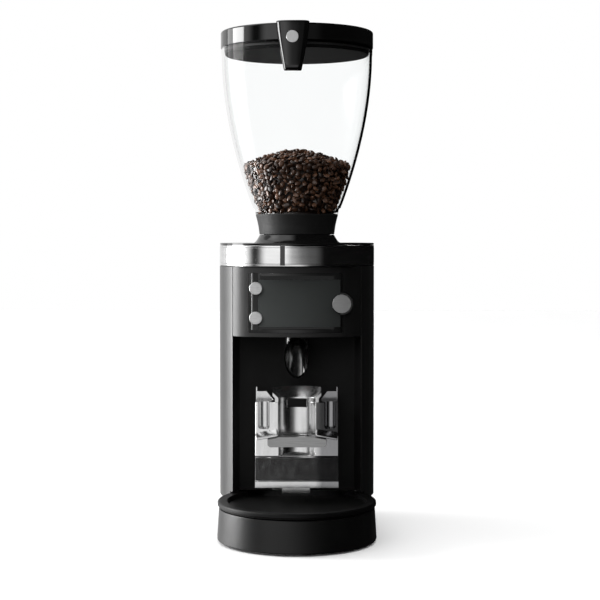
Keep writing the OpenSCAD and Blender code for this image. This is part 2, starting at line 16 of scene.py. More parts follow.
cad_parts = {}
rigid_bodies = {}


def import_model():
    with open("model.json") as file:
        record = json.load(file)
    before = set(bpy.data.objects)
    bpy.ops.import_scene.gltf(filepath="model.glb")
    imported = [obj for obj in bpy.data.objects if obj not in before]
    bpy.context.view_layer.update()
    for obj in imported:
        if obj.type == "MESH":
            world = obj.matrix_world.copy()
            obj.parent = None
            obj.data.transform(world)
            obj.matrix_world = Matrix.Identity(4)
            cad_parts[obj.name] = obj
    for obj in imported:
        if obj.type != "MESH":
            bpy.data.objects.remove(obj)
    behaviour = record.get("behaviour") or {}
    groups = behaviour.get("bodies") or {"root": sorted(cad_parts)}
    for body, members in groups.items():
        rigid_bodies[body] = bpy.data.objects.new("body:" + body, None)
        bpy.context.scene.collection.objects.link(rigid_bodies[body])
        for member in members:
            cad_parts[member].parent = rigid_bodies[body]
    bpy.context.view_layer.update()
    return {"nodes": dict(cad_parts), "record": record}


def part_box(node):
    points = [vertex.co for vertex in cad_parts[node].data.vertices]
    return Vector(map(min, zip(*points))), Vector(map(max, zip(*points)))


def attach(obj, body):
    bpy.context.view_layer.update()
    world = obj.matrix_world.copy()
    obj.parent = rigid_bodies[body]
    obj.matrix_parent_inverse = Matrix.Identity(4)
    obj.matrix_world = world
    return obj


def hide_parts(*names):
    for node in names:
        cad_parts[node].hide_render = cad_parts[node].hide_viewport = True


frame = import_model()

# %% [markdown]
# The frame is in metres. A maker thinks of a kitchen machine in millimetres, so every size below is in
# millimetres, and the helpers turn it into metres at the last moment. `span` reads where a CAD node lies.

# %% Sizes that the frame gives
MM = 0.001


def span(node):
    """The lowest and highest corners of a CAD node, in millimetres."""
    low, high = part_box(node)
    return Vector(low) / MM, Vector(high) / MM


ring_low, ring_high = span("adjusting_ring")
base_low, base_high = span("base_casting")
tray_low, tray_high = span("drip_tray")
head_low, head_high = span("head_cover")
plate_low, plate_high = span("top_plate")
flange_low, flange_high = span("neck_flange")
shell_high = span("hopper_shell")[1]
lid_low, lid_high = span("hopper_lid")
glass_low, glass_high = span("display_glass")

ring_r = (ring_high.x - ring_low.x) / 2
column_y = (ring_low.y + ring_high.y) / 2
base_r = (base_high.x - base_low.x) / 2
base_front_y = base_low.y + base_r
tray_r = (tray_high.x - tray_low.x) / 2
print(f"ring {2 * ring_r:.0f} mm across, column axis at y = {column_y:.1f}")
print(f"base front axis at y = {base_front_y:.1f}")

# %% [markdown]
# ## Helpers for shapes
# Most of the grinder is turned work, so the main tool is a profile that is spun round an upright axis. A real
# edge is never razor sharp, so `rounded` swaps each corner of an outline for a small arc.

# %% Outlines with rounded corners
def rounded(points, radii, steps=5):
    """The closed outline of points, with each corner turned by its radius."""
    if not isinstance(radii, (list, tuple)):
        radii = [radii] * len(points)
    out = []
    count = len(points)
    for i, (point, radius) in enumerate(zip(points, radii)):
        here = Vector(point)
        to_last = Vector(points[i - 1]) - here
        to_next = Vector(points[(i + 1) % count]) - here
        if radius <= 0:
            out.append(tuple(here))
            continue
        half = to_last.angle(to_next) / 2
        reach = radius / math.tan(half)
        reach = min(reach, to_last.length * 0.49, to_next.length * 0.49)
        radius = reach * math.tan(half)
        a, b = here + to_last.normalized() * reach, here + to_next.normalized() * reach
        middle = here + (to_last.normalized() + to_next.normalized()).normalized() * radius / math.sin(half)
        start, end = a - middle, b - middle
        turn = start.angle_signed(end)
        for k in range(steps + 1):
            out.append(tuple(middle + Matrix.Rotation(-turn * k / steps, 2) @ start))
    return out


def arc(cx, cy, r, a0, a1, steps):
    """Points on an arc. Angles are in degrees from the front, turning to the right."""
    angles = [math.radians(a0 + (a1 - a0) * i / steps) for i in range(steps + 1)]
    return [(cx + r * math.sin(a), cy - r * math.cos(a)) for a in angles]


# %% From bmesh to a finished piece
def finish_piece(name, bm, body, replaced=(), slot=None, smooth=32, recalc=True):
    """Turns a bmesh in millimetres into an object in metres that rides on a body."""
    bmesh.ops.remove_doubles(bm, verts=bm.verts, dist=0.0005)
    if recalc:
        bmesh.ops.recalc_face_normals(bm, faces=bm.faces)
    bmesh.ops.scale(bm, vec=(MM, MM, MM), verts=bm.verts)
    for face in bm.faces:
        face.smooth = True
    for edge in bm.edges:
        edge.smooth = edge.calc_face_angle(0) < math.radians(smooth)
    mesh = bpy.data.meshes.new(name)
    bm.to_mesh(mesh)
    bm.free()
    piece = bpy.data.objects.new(name, mesh)
    bpy.context.collection.objects.link(piece)
    weighted = piece.modifiers.new("even shading", "WEIGHTED_NORMAL")
    weighted.keep_sharp, weighted.weight = True, 100
    if body:
        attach(piece, body)
    if replaced:
        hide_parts(*replaced)
    return piece


# %% Turned, cut-out and carved solids
def add_spun(bm, profile, axis=(0.0, 0.0), steps=160, a0=None, a1=None):
    """Spins a closed (radius, height) profile about an upright axis. Angles are degrees from the front."""
    start = math.radians(a0 if a0 is not None else 0)
    direction = Vector((math.sin(start), -math.cos(start), 0))
    centre = Vector((axis[0], axis[1], 0))
    verts = [bm.verts.new(centre + direction * r + Vector((0, 0, z))) for r, z in profile]
    if a1 is None:
        edges = [bm.edges.new((verts[i - 1], verts[i])) for i in range(len(verts))]
        bmesh.ops.spin(bm, geom=verts + edges, cent=centre, axis=(0, 0, 1), angle=2 * math.pi, steps=steps,
                       use_merge=True)
    else:
        face = bm.faces.new(verts)
        bmesh.ops.spin(bm, geom=[face], cent=centre, axis=(0, 0, 1), angle=math.radians(a1 - a0), steps=steps)
    bmesh.ops.remove_doubles(bm, verts=bm.verts, dist=0.0005)


def spun(name, profile, body, axis=None, **options):
    """A turned piece of its own, about the column's axis unless another is given."""
    bm = bmesh.new()
    spin = {k: options.pop(k) for k in ("steps", "a0", "a1") if k in options}
    add_spun(bm, profile, (0, column_y) if axis is None else axis, **spin)
    return finish_piece(name, bm, body, **options)


def add_prism(bm, outline, low, high, along="z"):
    """Extrudes a flat outline. Along z it holds (x, y), along y (x, z) and along x (y, z)."""
    lift = {
        "z": lambda a, b, c: (a, b, c),
        "y": lambda a, b, c: (a, c, b),
        "x": lambda a, b, c: (c, a, b),
    }[along]
    face = bm.faces.new([bm.verts.new(lift(a, b, low)) for a, b in outline])
    grown = bmesh.ops.extrude_face_region(bm, geom=[face])
    moved = [v for v in grown["geom"] if isinstance(v, bmesh.types.BMVert)]
    bmesh.ops.translate(bm, verts=moved, vec=Vector(lift(0, 0, high - low)))


def add_box(bm, low, high):
    plan = [(low[0], low[1]), (high[0], low[1]), (high[0], high[1]), (low[0], high[1])]
    add_prism(bm, plan, low[2], high[2])


def add_part(bm, part):
    """Adds the shape in one bmesh to another, and frees it."""
    mesh = bpy.data.meshes.new("part")
    part.to_mesh(mesh)
    part.free()
    bm.from_mesh(mesh)
    bpy.data.meshes.remove(mesh)


def soften(bm, width, angle=35, segments=3):
    """Bevels every edge that turns more than the angle, in degrees."""
    bmesh.ops.recalc_face_normals(bm, faces=bm.faces)
    sharp = [e for e in bm.edges if e.is_manifold and e.calc_face_angle(0) > math.radians(angle)]
    bmesh.ops.bevel(bm, geom=sharp, offset=width, offset_type="OFFSET", affect="EDGES", segments=segments,
                    profile=0.5, material=-1, clamp_overlap=True)


def carve(piece, bm, keep="DIFFERENCE", smooth=32):
    """Cuts the shape in bm, in millimetres, out of a finished piece."""
    bmesh.ops.recalc_face_normals(bm, faces=bm.faces)
    bmesh.ops.scale(bm, vec=(MM, MM, MM), verts=bm.verts)
    mesh = bpy.data.meshes.new("cutter")
    bm.to_mesh(mesh)
    bm.free()
    cutter = bpy.data.objects.new("cutter", mesh)
    bpy.context.collection.objects.link(cutter)
    piece.modifiers.clear()
    cut = piece.modifiers.new("cut", "BOOLEAN")
    cut.object, cut.operation, cut.solver, cut.use_self = cutter, keep, "EXACT", True
    bpy.context.view_layer.update()
    done = bpy.data.meshes.new_from_object(piece.evaluated_get(bpy.context.evaluated_depsgraph_get()))
    piece.modifiers.clear()
    old, piece.data = piece.data, done
    done.name = old.name
    bpy.data.meshes.remove(old)
    bpy.data.objects.remove(cutter)
    bpy.data.meshes.remove(mesh)
    bm = bmesh.new()
    bm.from_mesh(done)
    bmesh.ops.dissolve_degenerate(bm, dist=1e-6, edges=bm.edges)
    for face in bm.faces:
        face.smooth = True
    for edge in bm.edges:
        edge.smooth = edge.calc_face_angle(0) < math.radians(smooth)
    bm.to_mesh(done)
    bm.free()
    weighted = piece.modifiers.new("even shading", "WEIGHTED_NORMAL")
    weighted.keep_sharp, weighted.weight = True, 100
    return piece


def carve_box(piece, low, high, keep="DIFFERENCE"):
    """Cuts a box out of a finished piece, or keeps only what lies in it."""
    bm = bmesh.new()
    add_box(bm, low, high)
    return carve(piece, bm, keep)


# %% [markdown]
# ## Helpers for finishes
# Each finish is a Principled shader whose colour, roughness and bump wander a little, as paint, plastic and
# steel do. The patterns read Object coordinates, which are metres on the real machine, so a scale of 100
# means a pattern 10 mm long.

# %% A finish with wandering colour, roughness and bump
def shade(value):
    """A grey, or a colour as it is, with its alpha."""
    return (value, value, value, 1) if isinstance(value, (int, float)) else (*value, 1)


def finish(name, dark, light, rough, metallic=0.0, grain=60, stretch=(1, 1, 1), bump=0.05, bump_grain=900,
           spread=0.05, **sockets):
    """A material: colour from dark to light, roughness within spread, and a fine bump."""
    material = bpy.data.materials.new(name)
    material.use_nodes = True
    nodes, links = material.node_tree.nodes, material.node_tree.links
    shader = nodes["Principled BSDF"]
    shader.inputs["Metallic"].default_value = metallic
    for socket, value in sockets.items():
        shader.inputs[socket.replace("_", " ")].default_value = value
    place = nodes.new("ShaderNodeTexCoord")
    mapping = nodes.new("ShaderNodeMapping")
    mapping.inputs["Scale"].default_value = stretch
    links.new(place.outputs["Object"], mapping.inputs["Vector"])
    cloud = nodes.new("ShaderNodeTexNoise")
    cloud.inputs["Scale"].default_value = grain
    cloud.inputs["Detail"].default_value = 4
    links.new(mapping.outputs["Vector"], cloud.inputs["Vector"])
    ramp = nodes.new("ShaderNodeValToRGB")
    ramp.color_ramp.elements[0].position, ramp.color_ramp.elements[1].position = 0.3, 0.7
    ramp.color_ramp.elements[0].color, ramp.color_ramp.elements[1].color = shade(dark), shade(light)
    links.new(cloud.outputs["Fac"], ramp.inputs["Fac"])
    links.new(ramp.outputs["Color"], shader.inputs["Base Color"])
    polish = nodes.new("ShaderNodeMapRange")
    polish.inputs["To Min"].default_value = max(rough - spread, 0.01)
    polish.inputs["To Max"].default_value = min(rough + spread, 1)
    links.new(cloud.outputs["Fac"], polish.inputs["Value"])
    links.new(polish.outputs["Result"], shader.inputs["Roughness"])
    speck = nodes.new("ShaderNodeTexNoise")
    speck.inputs["Scale"].default_value = bump_grain
    speck.inputs["Detail"].default_value = 3
    links.new(mapping.outputs["Vector"], speck.inputs["Vector"])
    relief = nodes.new("ShaderNodeBump")
    relief.inputs["Strength"].default_value = bump
    relief.inputs["Distance"].default_value = 0.0004
    links.new(speck.outputs["Fac"], relief.inputs["Height"])
    links.new(relief.outputs["Normal"], shader.inputs["Normal"])
    return material


# %% [markdown]
# The finishes are listed by the record's material slots, so a CAD node and the piece that replaces it agree.
# Painted castings are satin, the head and the lid are glossier, and the steel parts are metallic with a fine
# lay. The numbers are dark and light colour, then roughness.

# %% The grinder's finishes
finishes = {
    "cast_black": finish("cast_black", 0.003, 0.005, 0.36, bump=0.12, bump_grain=1400, grain=25,
                         Specular_IOR_Level=0.34),
    "tray_black": finish("tray_black", 0.002, 0.004, 0.44, bump=0.10, bump_grain=1800, grain=30,
                         Specular_IOR_Level=0.2),
    "panel_black": finish("panel_black", 0.005, 0.008, 0.32, bump=0.02, bump_grain=700, grain=12,
                          Specular_IOR_Level=0.5),
    "satin_black": finish("satin_black", 0.009, 0.012, 0.45, bump=0.08, bump_grain=1500, grain=30,
                          Specular_IOR_Level=0.08),
    "head_black": finish("head_black", 0.005, 0.008, 0.42, bump=0.05, bump_grain=1500, grain=20,
                         Specular_IOR_Level=0.5),
    "gloss_black": finish("gloss_black", 0.003, 0.005, 0.07, bump=0.01, bump_grain=300, grain=15,
                          spread=0.02),
    "collar_black": finish("collar_black", 0.008, 0.012, 0.55, bump=0.14, bump_grain=2200, grain=60,
                           Specular_IOR_Level=0.3),
    "liner_black": finish("liner_black", 0.004, 0.007, 0.7, bump=0.02, bump_grain=400, grain=20,
                          Specular_IOR_Level=0.05),
    "entry_black": finish("entry_black", 0.010, 0.016, 0.55, bump=0.12, bump_grain=2000),
    "switch_black": finish("switch_black", 0.012, 0.018, 0.28, bump=0.03, bump_grain=900),
    "rubber": finish("rubber", 0.012, 0.022, 0.78, bump=0.25, bump_grain=1600, grain=80),
    "flap_rubber": finish("flap_rubber", (0.30, 0.05, 0.02), (0.42, 0.09, 0.04), 0.6, bump=0.1),
    "chrome": finish("chrome", 0.62, 0.72, 0.12, 1.0, grain=18, stretch=(1, 1, 6), bump=0.012, bump_grain=500,
                     spread=0.02),
    "polished_steel": finish("polished_steel", 0.70, 0.80, 0.20, 1.0, grain=30, stretch=(5, 5, 1), bump=0.03,
                             bump_grain=260, spread=0.04),
    "brushed_fork": finish("brushed_fork", 0.40, 0.54, 0.40, 1.0, grain=140, stretch=(0.3, 6, 6), bump=0.10,
                           bump_grain=700),
    "brushed_buttons": finish("brushed_buttons", 0.68, 0.84, 0.34, 0.9, grain=260, stretch=(0.4, 1, 5),
                              bump=0.10, bump_grain=900),
    "satin_silver": finish("satin_silver", 0.66, 0.76, 0.34, 0.9, grain=120, stretch=(4, 4, 0.6), bump=0.05),
    "gate_steel": finish("gate_steel", 0.36, 0.46, 0.32, 1.0, grain=150, stretch=(6, 0.4, 6), bump=0.06),
    "zinc_steel": finish("zinc_steel", 0.42, 0.60, 0.38, 1.0, grain=70, bump=0.10, bump_grain=500),
    "motor_steel": finish("motor_steel", 0.20, 0.30, 0.42, 1.0, grain=60, stretch=(1, 1, 9), bump=0.15,
                          bump_grain=800),
    "bearing_steel": finish("bearing_steel", 0.55, 0.68, 0.18, 1.0, grain=90, bump=0.03),
    "burr_steel": finish("burr_steel", 0.46, 0.60, 0.26, 1.0, grain=200, bump=0.08),
    "cast_aluminium": finish("cast_aluminium", 0.42, 0.54, 0.46, 1.0, grain=50, bump=0.30, bump_grain=900),
    "copper": finish("copper", (0.50, 0.17, 0.06), (0.72, 0.28, 0.11), 0.30, 1.0, grain=300,
                     stretch=(1, 1, 8), bump=0.5, bump_grain=900),
    "circuit_board": finish("circuit_board", (0.008, 0.05, 0.02), (0.015, 0.09, 0.035), 0.4, grain=300,
                            bump=0.12),
    "display_glass": finish("display_glass", 0.10, 0.12, 0.20, bump=0.004, bump_grain=200, grain=8,
                            spread=0.02, Specular_IOR_Level=0.12),
}

# %% [markdown]
# Three finishes carry painted shade, light at the left and dark at the right as if lit from the left: the
# display behind its glass, the brushed caps of the buttons, and the steel of the holder. The satin metal
# carries painted shade too, which makes it duller at the display's rail than on the lid. These ramps are in
# the colour itself, so they stay as they are when the light moves.

# %% Painted shade: finishes that darken from left to right
def painted_side_shade(material, stops, left=-0.06, right=0.065):
    """Paints shade into a finish: multiplies its colour by a ramp along X."""
    nodes, links = material.node_tree.nodes, material.node_tree.links
    place = nodes.new("ShaderNodeTexCoord")
    split = nodes.new("ShaderNodeSeparateXYZ")
    links.new(place.outputs["Object"], split.inputs[0])
    along = nodes.new("ShaderNodeMapRange")
    along.inputs["From Min"].default_value, along.inputs["From Max"].default_value = left, right
    links.new(split.outputs["X"], along.inputs["Value"])
    ramp_node = nodes.new("ShaderNodeValToRGB")
    first, last = ramp_node.color_ramp.elements
    first.color, last.color = stops
    links.new(along.outputs["Result"], ramp_node.inputs["Fac"])
    shader = nodes["Principled BSDF"]
    cloud = shader.inputs["Base Color"].links[0].from_socket
    painted_shade_mix = nodes.new("ShaderNodeMix")
    painted_shade_mix.data_type, painted_shade_mix.blend_type = "RGBA", "MULTIPLY"
    painted_shade_mix.inputs["Factor"].default_value = 1.0
    links.new(cloud, painted_shade_mix.inputs[6])
    links.new(ramp_node.outputs["Color"], painted_shade_mix.inputs[7])
    links.new(painted_shade_mix.outputs[2], shader.inputs["Base Color"])


# Painted shade: the display, the button caps and the holder's steel are painted lighter at the left and
# darker at the right.
painted_side_shade(finishes["display_glass"], ((0.93, 1.0, 0.98, 1), (0.17, 0.19, 0.185, 1)))
painted_side_shade(finishes["brushed_buttons"], ((1.0, 1.0, 1.0, 1), (0.38, 0.38, 0.38, 1)))
painted_side_shade(finishes["polished_steel"], ((1.0, 1.0, 1.0, 1), (0.4, 0.4, 0.41, 1)), left=0.024, right=0.034)
# Painted shade: the satin rail at the display's left is painted darker than the badge on the lid.
painted_side_shade(finishes["satin_silver"], ((0.3, 0.3, 0.3, 1), (1.0, 1.0, 1.0, 1)), left=-0.055, right=-0.02)

# %% [markdown]
# The hopper is a clear moulded plastic, 3.5 mm thick. It is one shader with full transmission and a trace of
# grey. Its index of refraction is set far below a real plastic's, which keeps reflections off the beans.

# %% Clear plastic
clear = finish("clear_hopper", (0.975, 0.982, 0.982), (0.985, 0.992, 0.992), 0.03, grain=10, bump=0.002,
               bump_grain=60, spread=0.012, Transmission_Weight=1.0, IOR=1.09)
finishes["clear_hopper"] = clear

# %% [markdown]
# Roasted beans differ from one to the next. Each bean carries its own tone as an attribute of the mesh, and a
# ramp turns the tone into a brown. A coat gives the thin shine of bean oil.

# %% Roasted coffee
def bean_finish():
    material = finish("beans", 0.1, 0.2, 0.38, grain=260, bump=0.35, bump_grain=1300, spread=0.1)
    nodes, links = material.node_tree.nodes, material.node_tree.links
    shader = nodes["Principled BSDF"]
    shader.inputs["Coat Weight"].default_value = 0.4
    shader.inputs["Coat Roughness"].default_value = 0.25
    tone = nodes.new("ShaderNodeAttribute")
    tone.attribute_name = "tone"
    ramp = nodes.new("ShaderNodeValToRGB")
    stops = ramp.color_ramp.elements
    stops[0].color, stops[1].color = (0.010, 0.0045, 0.0025, 1), (0.125, 0.056, 0.028, 1)
    stops.new(0.5).color = (0.055, 0.024, 0.012, 1)
    links.new(tone.outputs["Fac"], ramp.inputs["Fac"])
    links.new(ramp.outputs["Color"], shader.inputs["Base Color"])
    return material


finishes["beans"] = bean_finish()
print(len(finishes), "finishes")


def coat(piece, slot):
    """Gives a piece the finish of a slot."""
    piece.data.materials.clear()
    piece.data.materials.append(finishes[slot])
    return piece


# %% [markdown]
# Every CAD node first gets the finish of its slot. The nodes inside the machine stay as they are: the motor,
# the burrs, the boards. The ones that show are replaced further down.

# %% Finishes for the CAD nodes
slots = {part["node"]: part["material_slot"] for part in frame["record"]["subparts"]}
for node, thing in frame["nodes"].items():
    for material_slot in thing.material_slots:
        material_slot.material = finishes[slots[node]]
print(len(slots), "nodes have a finish")

# %% [markdown]
# ## The base
# The base is a painted casting with round ends and sides that lean in a little. Loops of one outline at
# rising heights are bridged into a skin, which follows the lean and both rounded edges exactly.

# %% Base casting
def capsule_loop(bm, r, z, steps=64):
    """One loop round the base: two half circles joined by straight sides."""
    points = arc(0, base_front_y, r, -90, 90, steps) + arc(0, -base_front_y, r, 90, 270, steps)
    verts = [bm.verts.new((x, y, z)) for x, y in points]
    return [bm.edges.new((verts[i - 1], verts[i])) for i in range(len(verts))]


def bridged(bm, levels):
    """Loops at each (radius, height), bridged in turn, with both ends filled."""
    loops = [capsule_loop(bm, r, z) for r, z in levels]
    for low, high in zip(loops, loops[1:]):
        bmesh.ops.bridge_loops(bm, edges=low + high)
    for end in (loops[0], loops[-1]):
        bmesh.ops.contextual_create(bm, geom=end)


base_draft = 2.4
base_foot_z, deck_z = base_low.z, base_high.z
bm = bmesh.new()
fillet = [(base_r - 2.2, base_foot_z), (base_r - 1.1, base_foot_z + 0.3), (base_r - 0.4, base_foot_z + 1.0),
          (base_r - 0.1, base_foot_z + 2.2)]
top_edge = [(base_r - base_draft, deck_z - 1.3), (base_r - base_draft - 0.4, deck_z - 0.4),
            (base_r - base_draft - 1.3, deck_z)]
hollow = [(base_r - 9, 40), (base_r - 9, base_foot_z + 2), (base_r - 8, base_foot_z)]
bridged(bm, hollow + fillet + top_edge)
base = finish_piece("base_body", bm, "housing", ["base_casting"])
carve_box(base, (-50, 146, 10), (50, 180, 38))
coat(base, "cast_black")
print("base:", len(base.data.polygons), "faces")

# %% [markdown]
# ## The grounds tray
# The tray is a shallow turned dish with a broad flat rim and a bead round its edge. It meets the wall behind
# it, so the disc is cut straight there with a bisect.

# %% Grounds tray
rim_w = 13
floor_z, rim_z = tray_low.z + 1.6, tray_high.z
tray_profile = rounded(
    [(0.0, tray_low.z), (tray_r - 1.6, tray_low.z), (tray_r - 1.4, tray_low.z + 1.8),
     (tray_r, tray_low.z + 2.4), (tray_r, rim_z), (tray_r - rim_w, rim_z - 0.7),
     (tray_r - rim_w - 1.2, floor_z), (0.0, floor_z)],
    [0, 0.6, 0.2, 0.7, 2.2, 0.8, 1.2, 0])
bm = bmesh.new()
add_spun(bm, tray_profile, (0, base_front_y), steps=192)
cut = bmesh.ops.bisect_plane(bm, geom=bm.verts[:] + bm.edges[:] + bm.faces[:], plane_co=(0, tray_high.y, 0),
                             plane_no=(0, 1, 0), clear_outer=True)
bmesh.ops.contextual_create(bm, geom=[e for e in cut["geom_cut"] if isinstance(e, bmesh.types.BMEdge)])
tray = finish_piece("grounds_tray", bm, "tray", ["drip_tray"])
coat(tray, "tray_black")

# %% [markdown]
# ## The column
# Two side panels and a rear cover wrap the column. Each is a piece of one round shell, spun through its own
# angle and bevelled, so the seams between them catch the light. A cylinder is carved away where the tray
# slides in under the panels.

# %% Side panels and rear cover
panel_low, panel_high = span("side_panel_right")
panel_t = 2.5
seam_a, rear_a = 54.2, 140.0
seam_gap = 0.25


def shell_profile(z0, z1):
    outer_r = ring_r - 0.02
    return [(outer_r - panel_t, z0), (outer_r, z0), (outer_r, z1), (outer_r - panel_t, z1)]


def column_piece(name, a0, a1, node):
    bm = bmesh.new()
    add_spun(bm, shell_profile(panel_low.z, panel_high.z), (0, column_y), steps=64, a0=a0, a1=a1)
    soften(bm, 0.5, segments=2)
    return finish_piece(name, bm, "housing", [node])


right_panel = column_piece("right_side_panel", seam_a + seam_gap, rear_a - seam_gap, "side_panel_right")
left_panel = column_piece("left_side_panel", -rear_a + seam_gap, -seam_a - seam_gap, "side_panel_left")
rear_panel = column_piece("rear_panel", rear_a, 360 - rear_a, "rear_cover")
for panel in (right_panel, left_panel):
    bm = bmesh.new()
    add_spun(bm, [(0, 40), (tray_r + 0.5, 40), (tray_r + 0.5, 57), (0, 57)], (0, base_front_y), steps=128)
    carve(panel, bm)
vent_z, vent_rise, vent_w, vent_h, vent_step = 84, 200, 3.2, 46, 4.6
bm = bmesh.new()
for row in range(2):
    for i in range(12):
        vent = bmesh.new()
        x, z = vent_w / 2, vent_z + vent_rise * row
        outline = rounded([(-x, z), (x, z), (x, z + vent_h), (-x, z + vent_h)], 1.5)
        add_prism(vent, outline, 100, 115, along="y")
        turn = Matrix.Rotation(math.radians((i - 5.5) * vent_step), 3, "Z")
        bmesh.ops.rotate(vent, verts=vent.verts, matrix=turn)
        bmesh.ops.translate(vent, verts=vent.verts, vec=(0, column_y, 0))
        add_part(bm, vent)
carve(rear_panel, bm)
for panel in (right_panel, left_panel, rear_panel):
    coat(panel, "panel_black")
print("column panels:", panel_high.z - panel_low.z, "mm tall")

# %% [markdown]
# ## The wall behind the portafilter
# A folded sheet closes the column at the front: a flat back with a slanted return at each side. Its plan is
# one outline, extruded upwards and bevelled.

# %% Front panel
wall_low, wall_high = span("front_panel")
wall_x, wall_y = 80.7, 8.0
seam_x = ring_r * math.sin(math.radians(seam_a))
seam_y = column_y - ring_r * math.cos(math.radians(seam_a))
plan = [(-seam_x + 0.7, seam_y), (-wall_x, wall_y), (wall_x, wall_y), (seam_x - 0.7, seam_y)]
back = [(seam_x - 0.7, seam_y + 1.4), (wall_x + 1.5, wall_y + 1.5), (-wall_x - 1.5, wall_y + 1.5),
        (-seam_x + 0.7, seam_y + 1.4)]
bm = bmesh.new()
add_prism(bm, rounded(plan, [0, 2.0, 2.0, 0]) + rounded(back, [0, 2.5, 2.5, 0]), wall_low.z, wall_high.z)
wall = finish_piece("front_wall", bm, "housing", ["front_panel"])
coat(wall, "satin_black")

# %% [markdown]
# ## The head
# The head bulges forward from the column in three arcs that run into each other: a tight corner at each side
# and a shallow front between them. The same arcs are worked out here from the ring's radius, as in the CAD.

# %% Head outline
corner_r, turn_a = 55.0, 15.0
key_x, key_z = 61.4, 319.5  # middle of the large button
corner_x = (ring_r - corner_r) * math.sin(math.radians(seam_a))
corner_y = column_y - (ring_r - corner_r) * math.cos(math.radians(seam_a))
front_r = corner_r + corner_x / math.sin(math.radians(turn_a))
front_cy = corner_y + (front_r - corner_r) * math.cos(math.radians(turn_a))


def head_outline(inset, fine=20):
    return (arc(-corner_x, corner_y, corner_r - inset, -seam_a, -turn_a, fine)
            + arc(0, front_cy, front_r - inset, -turn_a, turn_a, fine)[1:-1]
            + arc(corner_x, corner_y, corner_r - inset, turn_a, seam_a, fine))


# %% Head cover
bm = bmesh.new()
outer = head_outline(0.0)
inner = head_outline(4.0)
add_prism(bm, outer + inner[::-1], head_low.z, head_high.z)
soften(bm, 0.8, angle=40, segments=3)
head = finish_piece("head_shell", bm, "housing", ["head_cover"])
bm = bmesh.new()
add_box(bm, (-66.5, -60, 279.5), (62.5, -15, 361.5))
add_prism(bm, arc(key_x, key_z, 16, 0, 354, 59), -60, -14, along="y")
carve(head, bm)
bm = bmesh.new()
floor_plan = head_outline(3.9) + [(wall_x, wall_y - 0.4), (-wall_x, wall_y - 0.4)]
add_prism(bm, floor_plan, head_low.z + 0.4, head_low.z + 3)
head_floor = finish_piece("head_floor", bm, "housing")
bm = bmesh.new()
add_spun(bm, [(0, 30), (18, 30), (18, 80), (0, 80)], steps=64)
tilt = Matrix.Translation((0, -32, 220)) @ Matrix.Rotation(math.radians(-18), 4, "X")
bmesh.ops.transform(bm, matrix=tilt, verts=bm.verts)
carve(head_floor, bm)
bm = bmesh.new()
add_spun(bm, [(0, 260), (60.5, 260), (60.5, 290), (0, 290)], (0, column_y), steps=96)
carve(head_floor, bm)
for part in (head, head_floor):
    coat(part, "head_black")

# %% [markdown]
# ## The display
# A gloss black bezel fills the window in the head. Its pocket has bevelled flanks that run back to the glass,
# and a deep groove at the left takes the two small buttons. The rail at its left edge is satin metal.

# %% Display bezel
bm = bmesh.new()
add_prism(bm, head_outline(0.25) + [(70, -24), (-70, -24)], 279.8, 361.2)
bezel = finish_piece("bezel_frame", bm, "housing", ["display_bezel"])
carve_box(bezel, (-66.2, -70, 270), (62.2, 0, 370), keep="INTERSECT")
bm = bmesh.new()
pocket = [(glass_low.y, glass_low.z - 2.6), (-40, glass_low.z - 3.4), (-40, glass_high.z + 6.0),
          (glass_low.y, glass_high.z + 5.0)]
add_prism(bm, pocket, -58.7, glass_high.x, along="x")
carve(bezel, bm)
opening_low = (glass_low.x - 0.1, glass_low.y - 1, glass_low.z - 0.1)
opening_high = (glass_high.x + 0.1, -10, glass_high.z + 0.1)
carve_box(bezel, opening_low, opening_high)
carve_box(bezel, (-66.3, -45, 283.4), (glass_low.x + 0.1, -29, 362.1))
coat(bezel, "gloss_black")
bm = bmesh.new()
add_prism(bm, arc(key_x, key_z, 15.7, 0, 354, 59), -31.5, -23.5, along="y")
soften(bm, 0.8, angle=50)
boss = finish_piece("button_boss", bm, "housing")
carve_box(boss, (opening_low[0], -40, opening_low[2]), opening_high)
coat(boss, "gloss_black")

# %% Display glass and rail
bm = bmesh.new()
face = [(glass_low.x, glass_low.z), (glass_high.x, glass_low.z), (glass_high.x, glass_high.z),
        (glass_low.x, glass_high.z)]
add_prism(bm, rounded(face, 1.2), glass_low.y, glass_high.y, along="y")
soften(bm, 0.35, angle=50)
glass = finish_piece("display_pane", bm, "housing", ["display_glass"])
coat(glass, "display_glass")
rail_low, rail_high = span("bezel_rail")
bm = bmesh.new()
add_box(bm, rail_low, rail_high)
soften(bm, 0.5)
rail = finish_piece("display_rail", bm, "housing", ["bezel_rail"])
coat(rail, "satin_silver")

# %% [markdown]
# ## The buttons
# The display's three buttons are flat turned discs of brushed metal with a rounded edge and a stem behind.
# They are spun about an upright axis and laid over so that the disc faces forward.

# %% Round buttons
def round_button(node, body, name):
    low, high = span(node)
    r = (high.x - low.x) / 2
    cx, cz = (low.x + high.x) / 2, (low.z + high.z) / 2
    stem_r, cap_t, back = 2.9, 2.6, 9.8
    profile = rounded([(0, 0), (r, 0), (r, cap_t), (stem_r, cap_t), (stem_r, back), (0, back)],
                      [0, 0.7, 0.4, 0.3, 0.3, 0])
    bm = bmesh.new()
    add_spun(bm, profile, steps=72)
    lay = Matrix.Translation((cx, low.y, cz)) @ Matrix.Rotation(math.radians(-90), 4, "X")
    bmesh.ops.transform(bm, matrix=lay, verts=bm.verts)
    piece = finish_piece(name, bm, body, [node])
    return coat(piece, "brushed_buttons")


round_button("button_upper", "upper_key", "upper_button")
round_button("button_lower", "lower_key", "lower_button")
round_button("button_side", "side_key", "side_button")

# %% [markdown]
# ## The adjusting ring
# The ring is turned and chromed. Fine grooves near its top and bottom edges break up the reflection, and a
# slot at the front marks the setting.

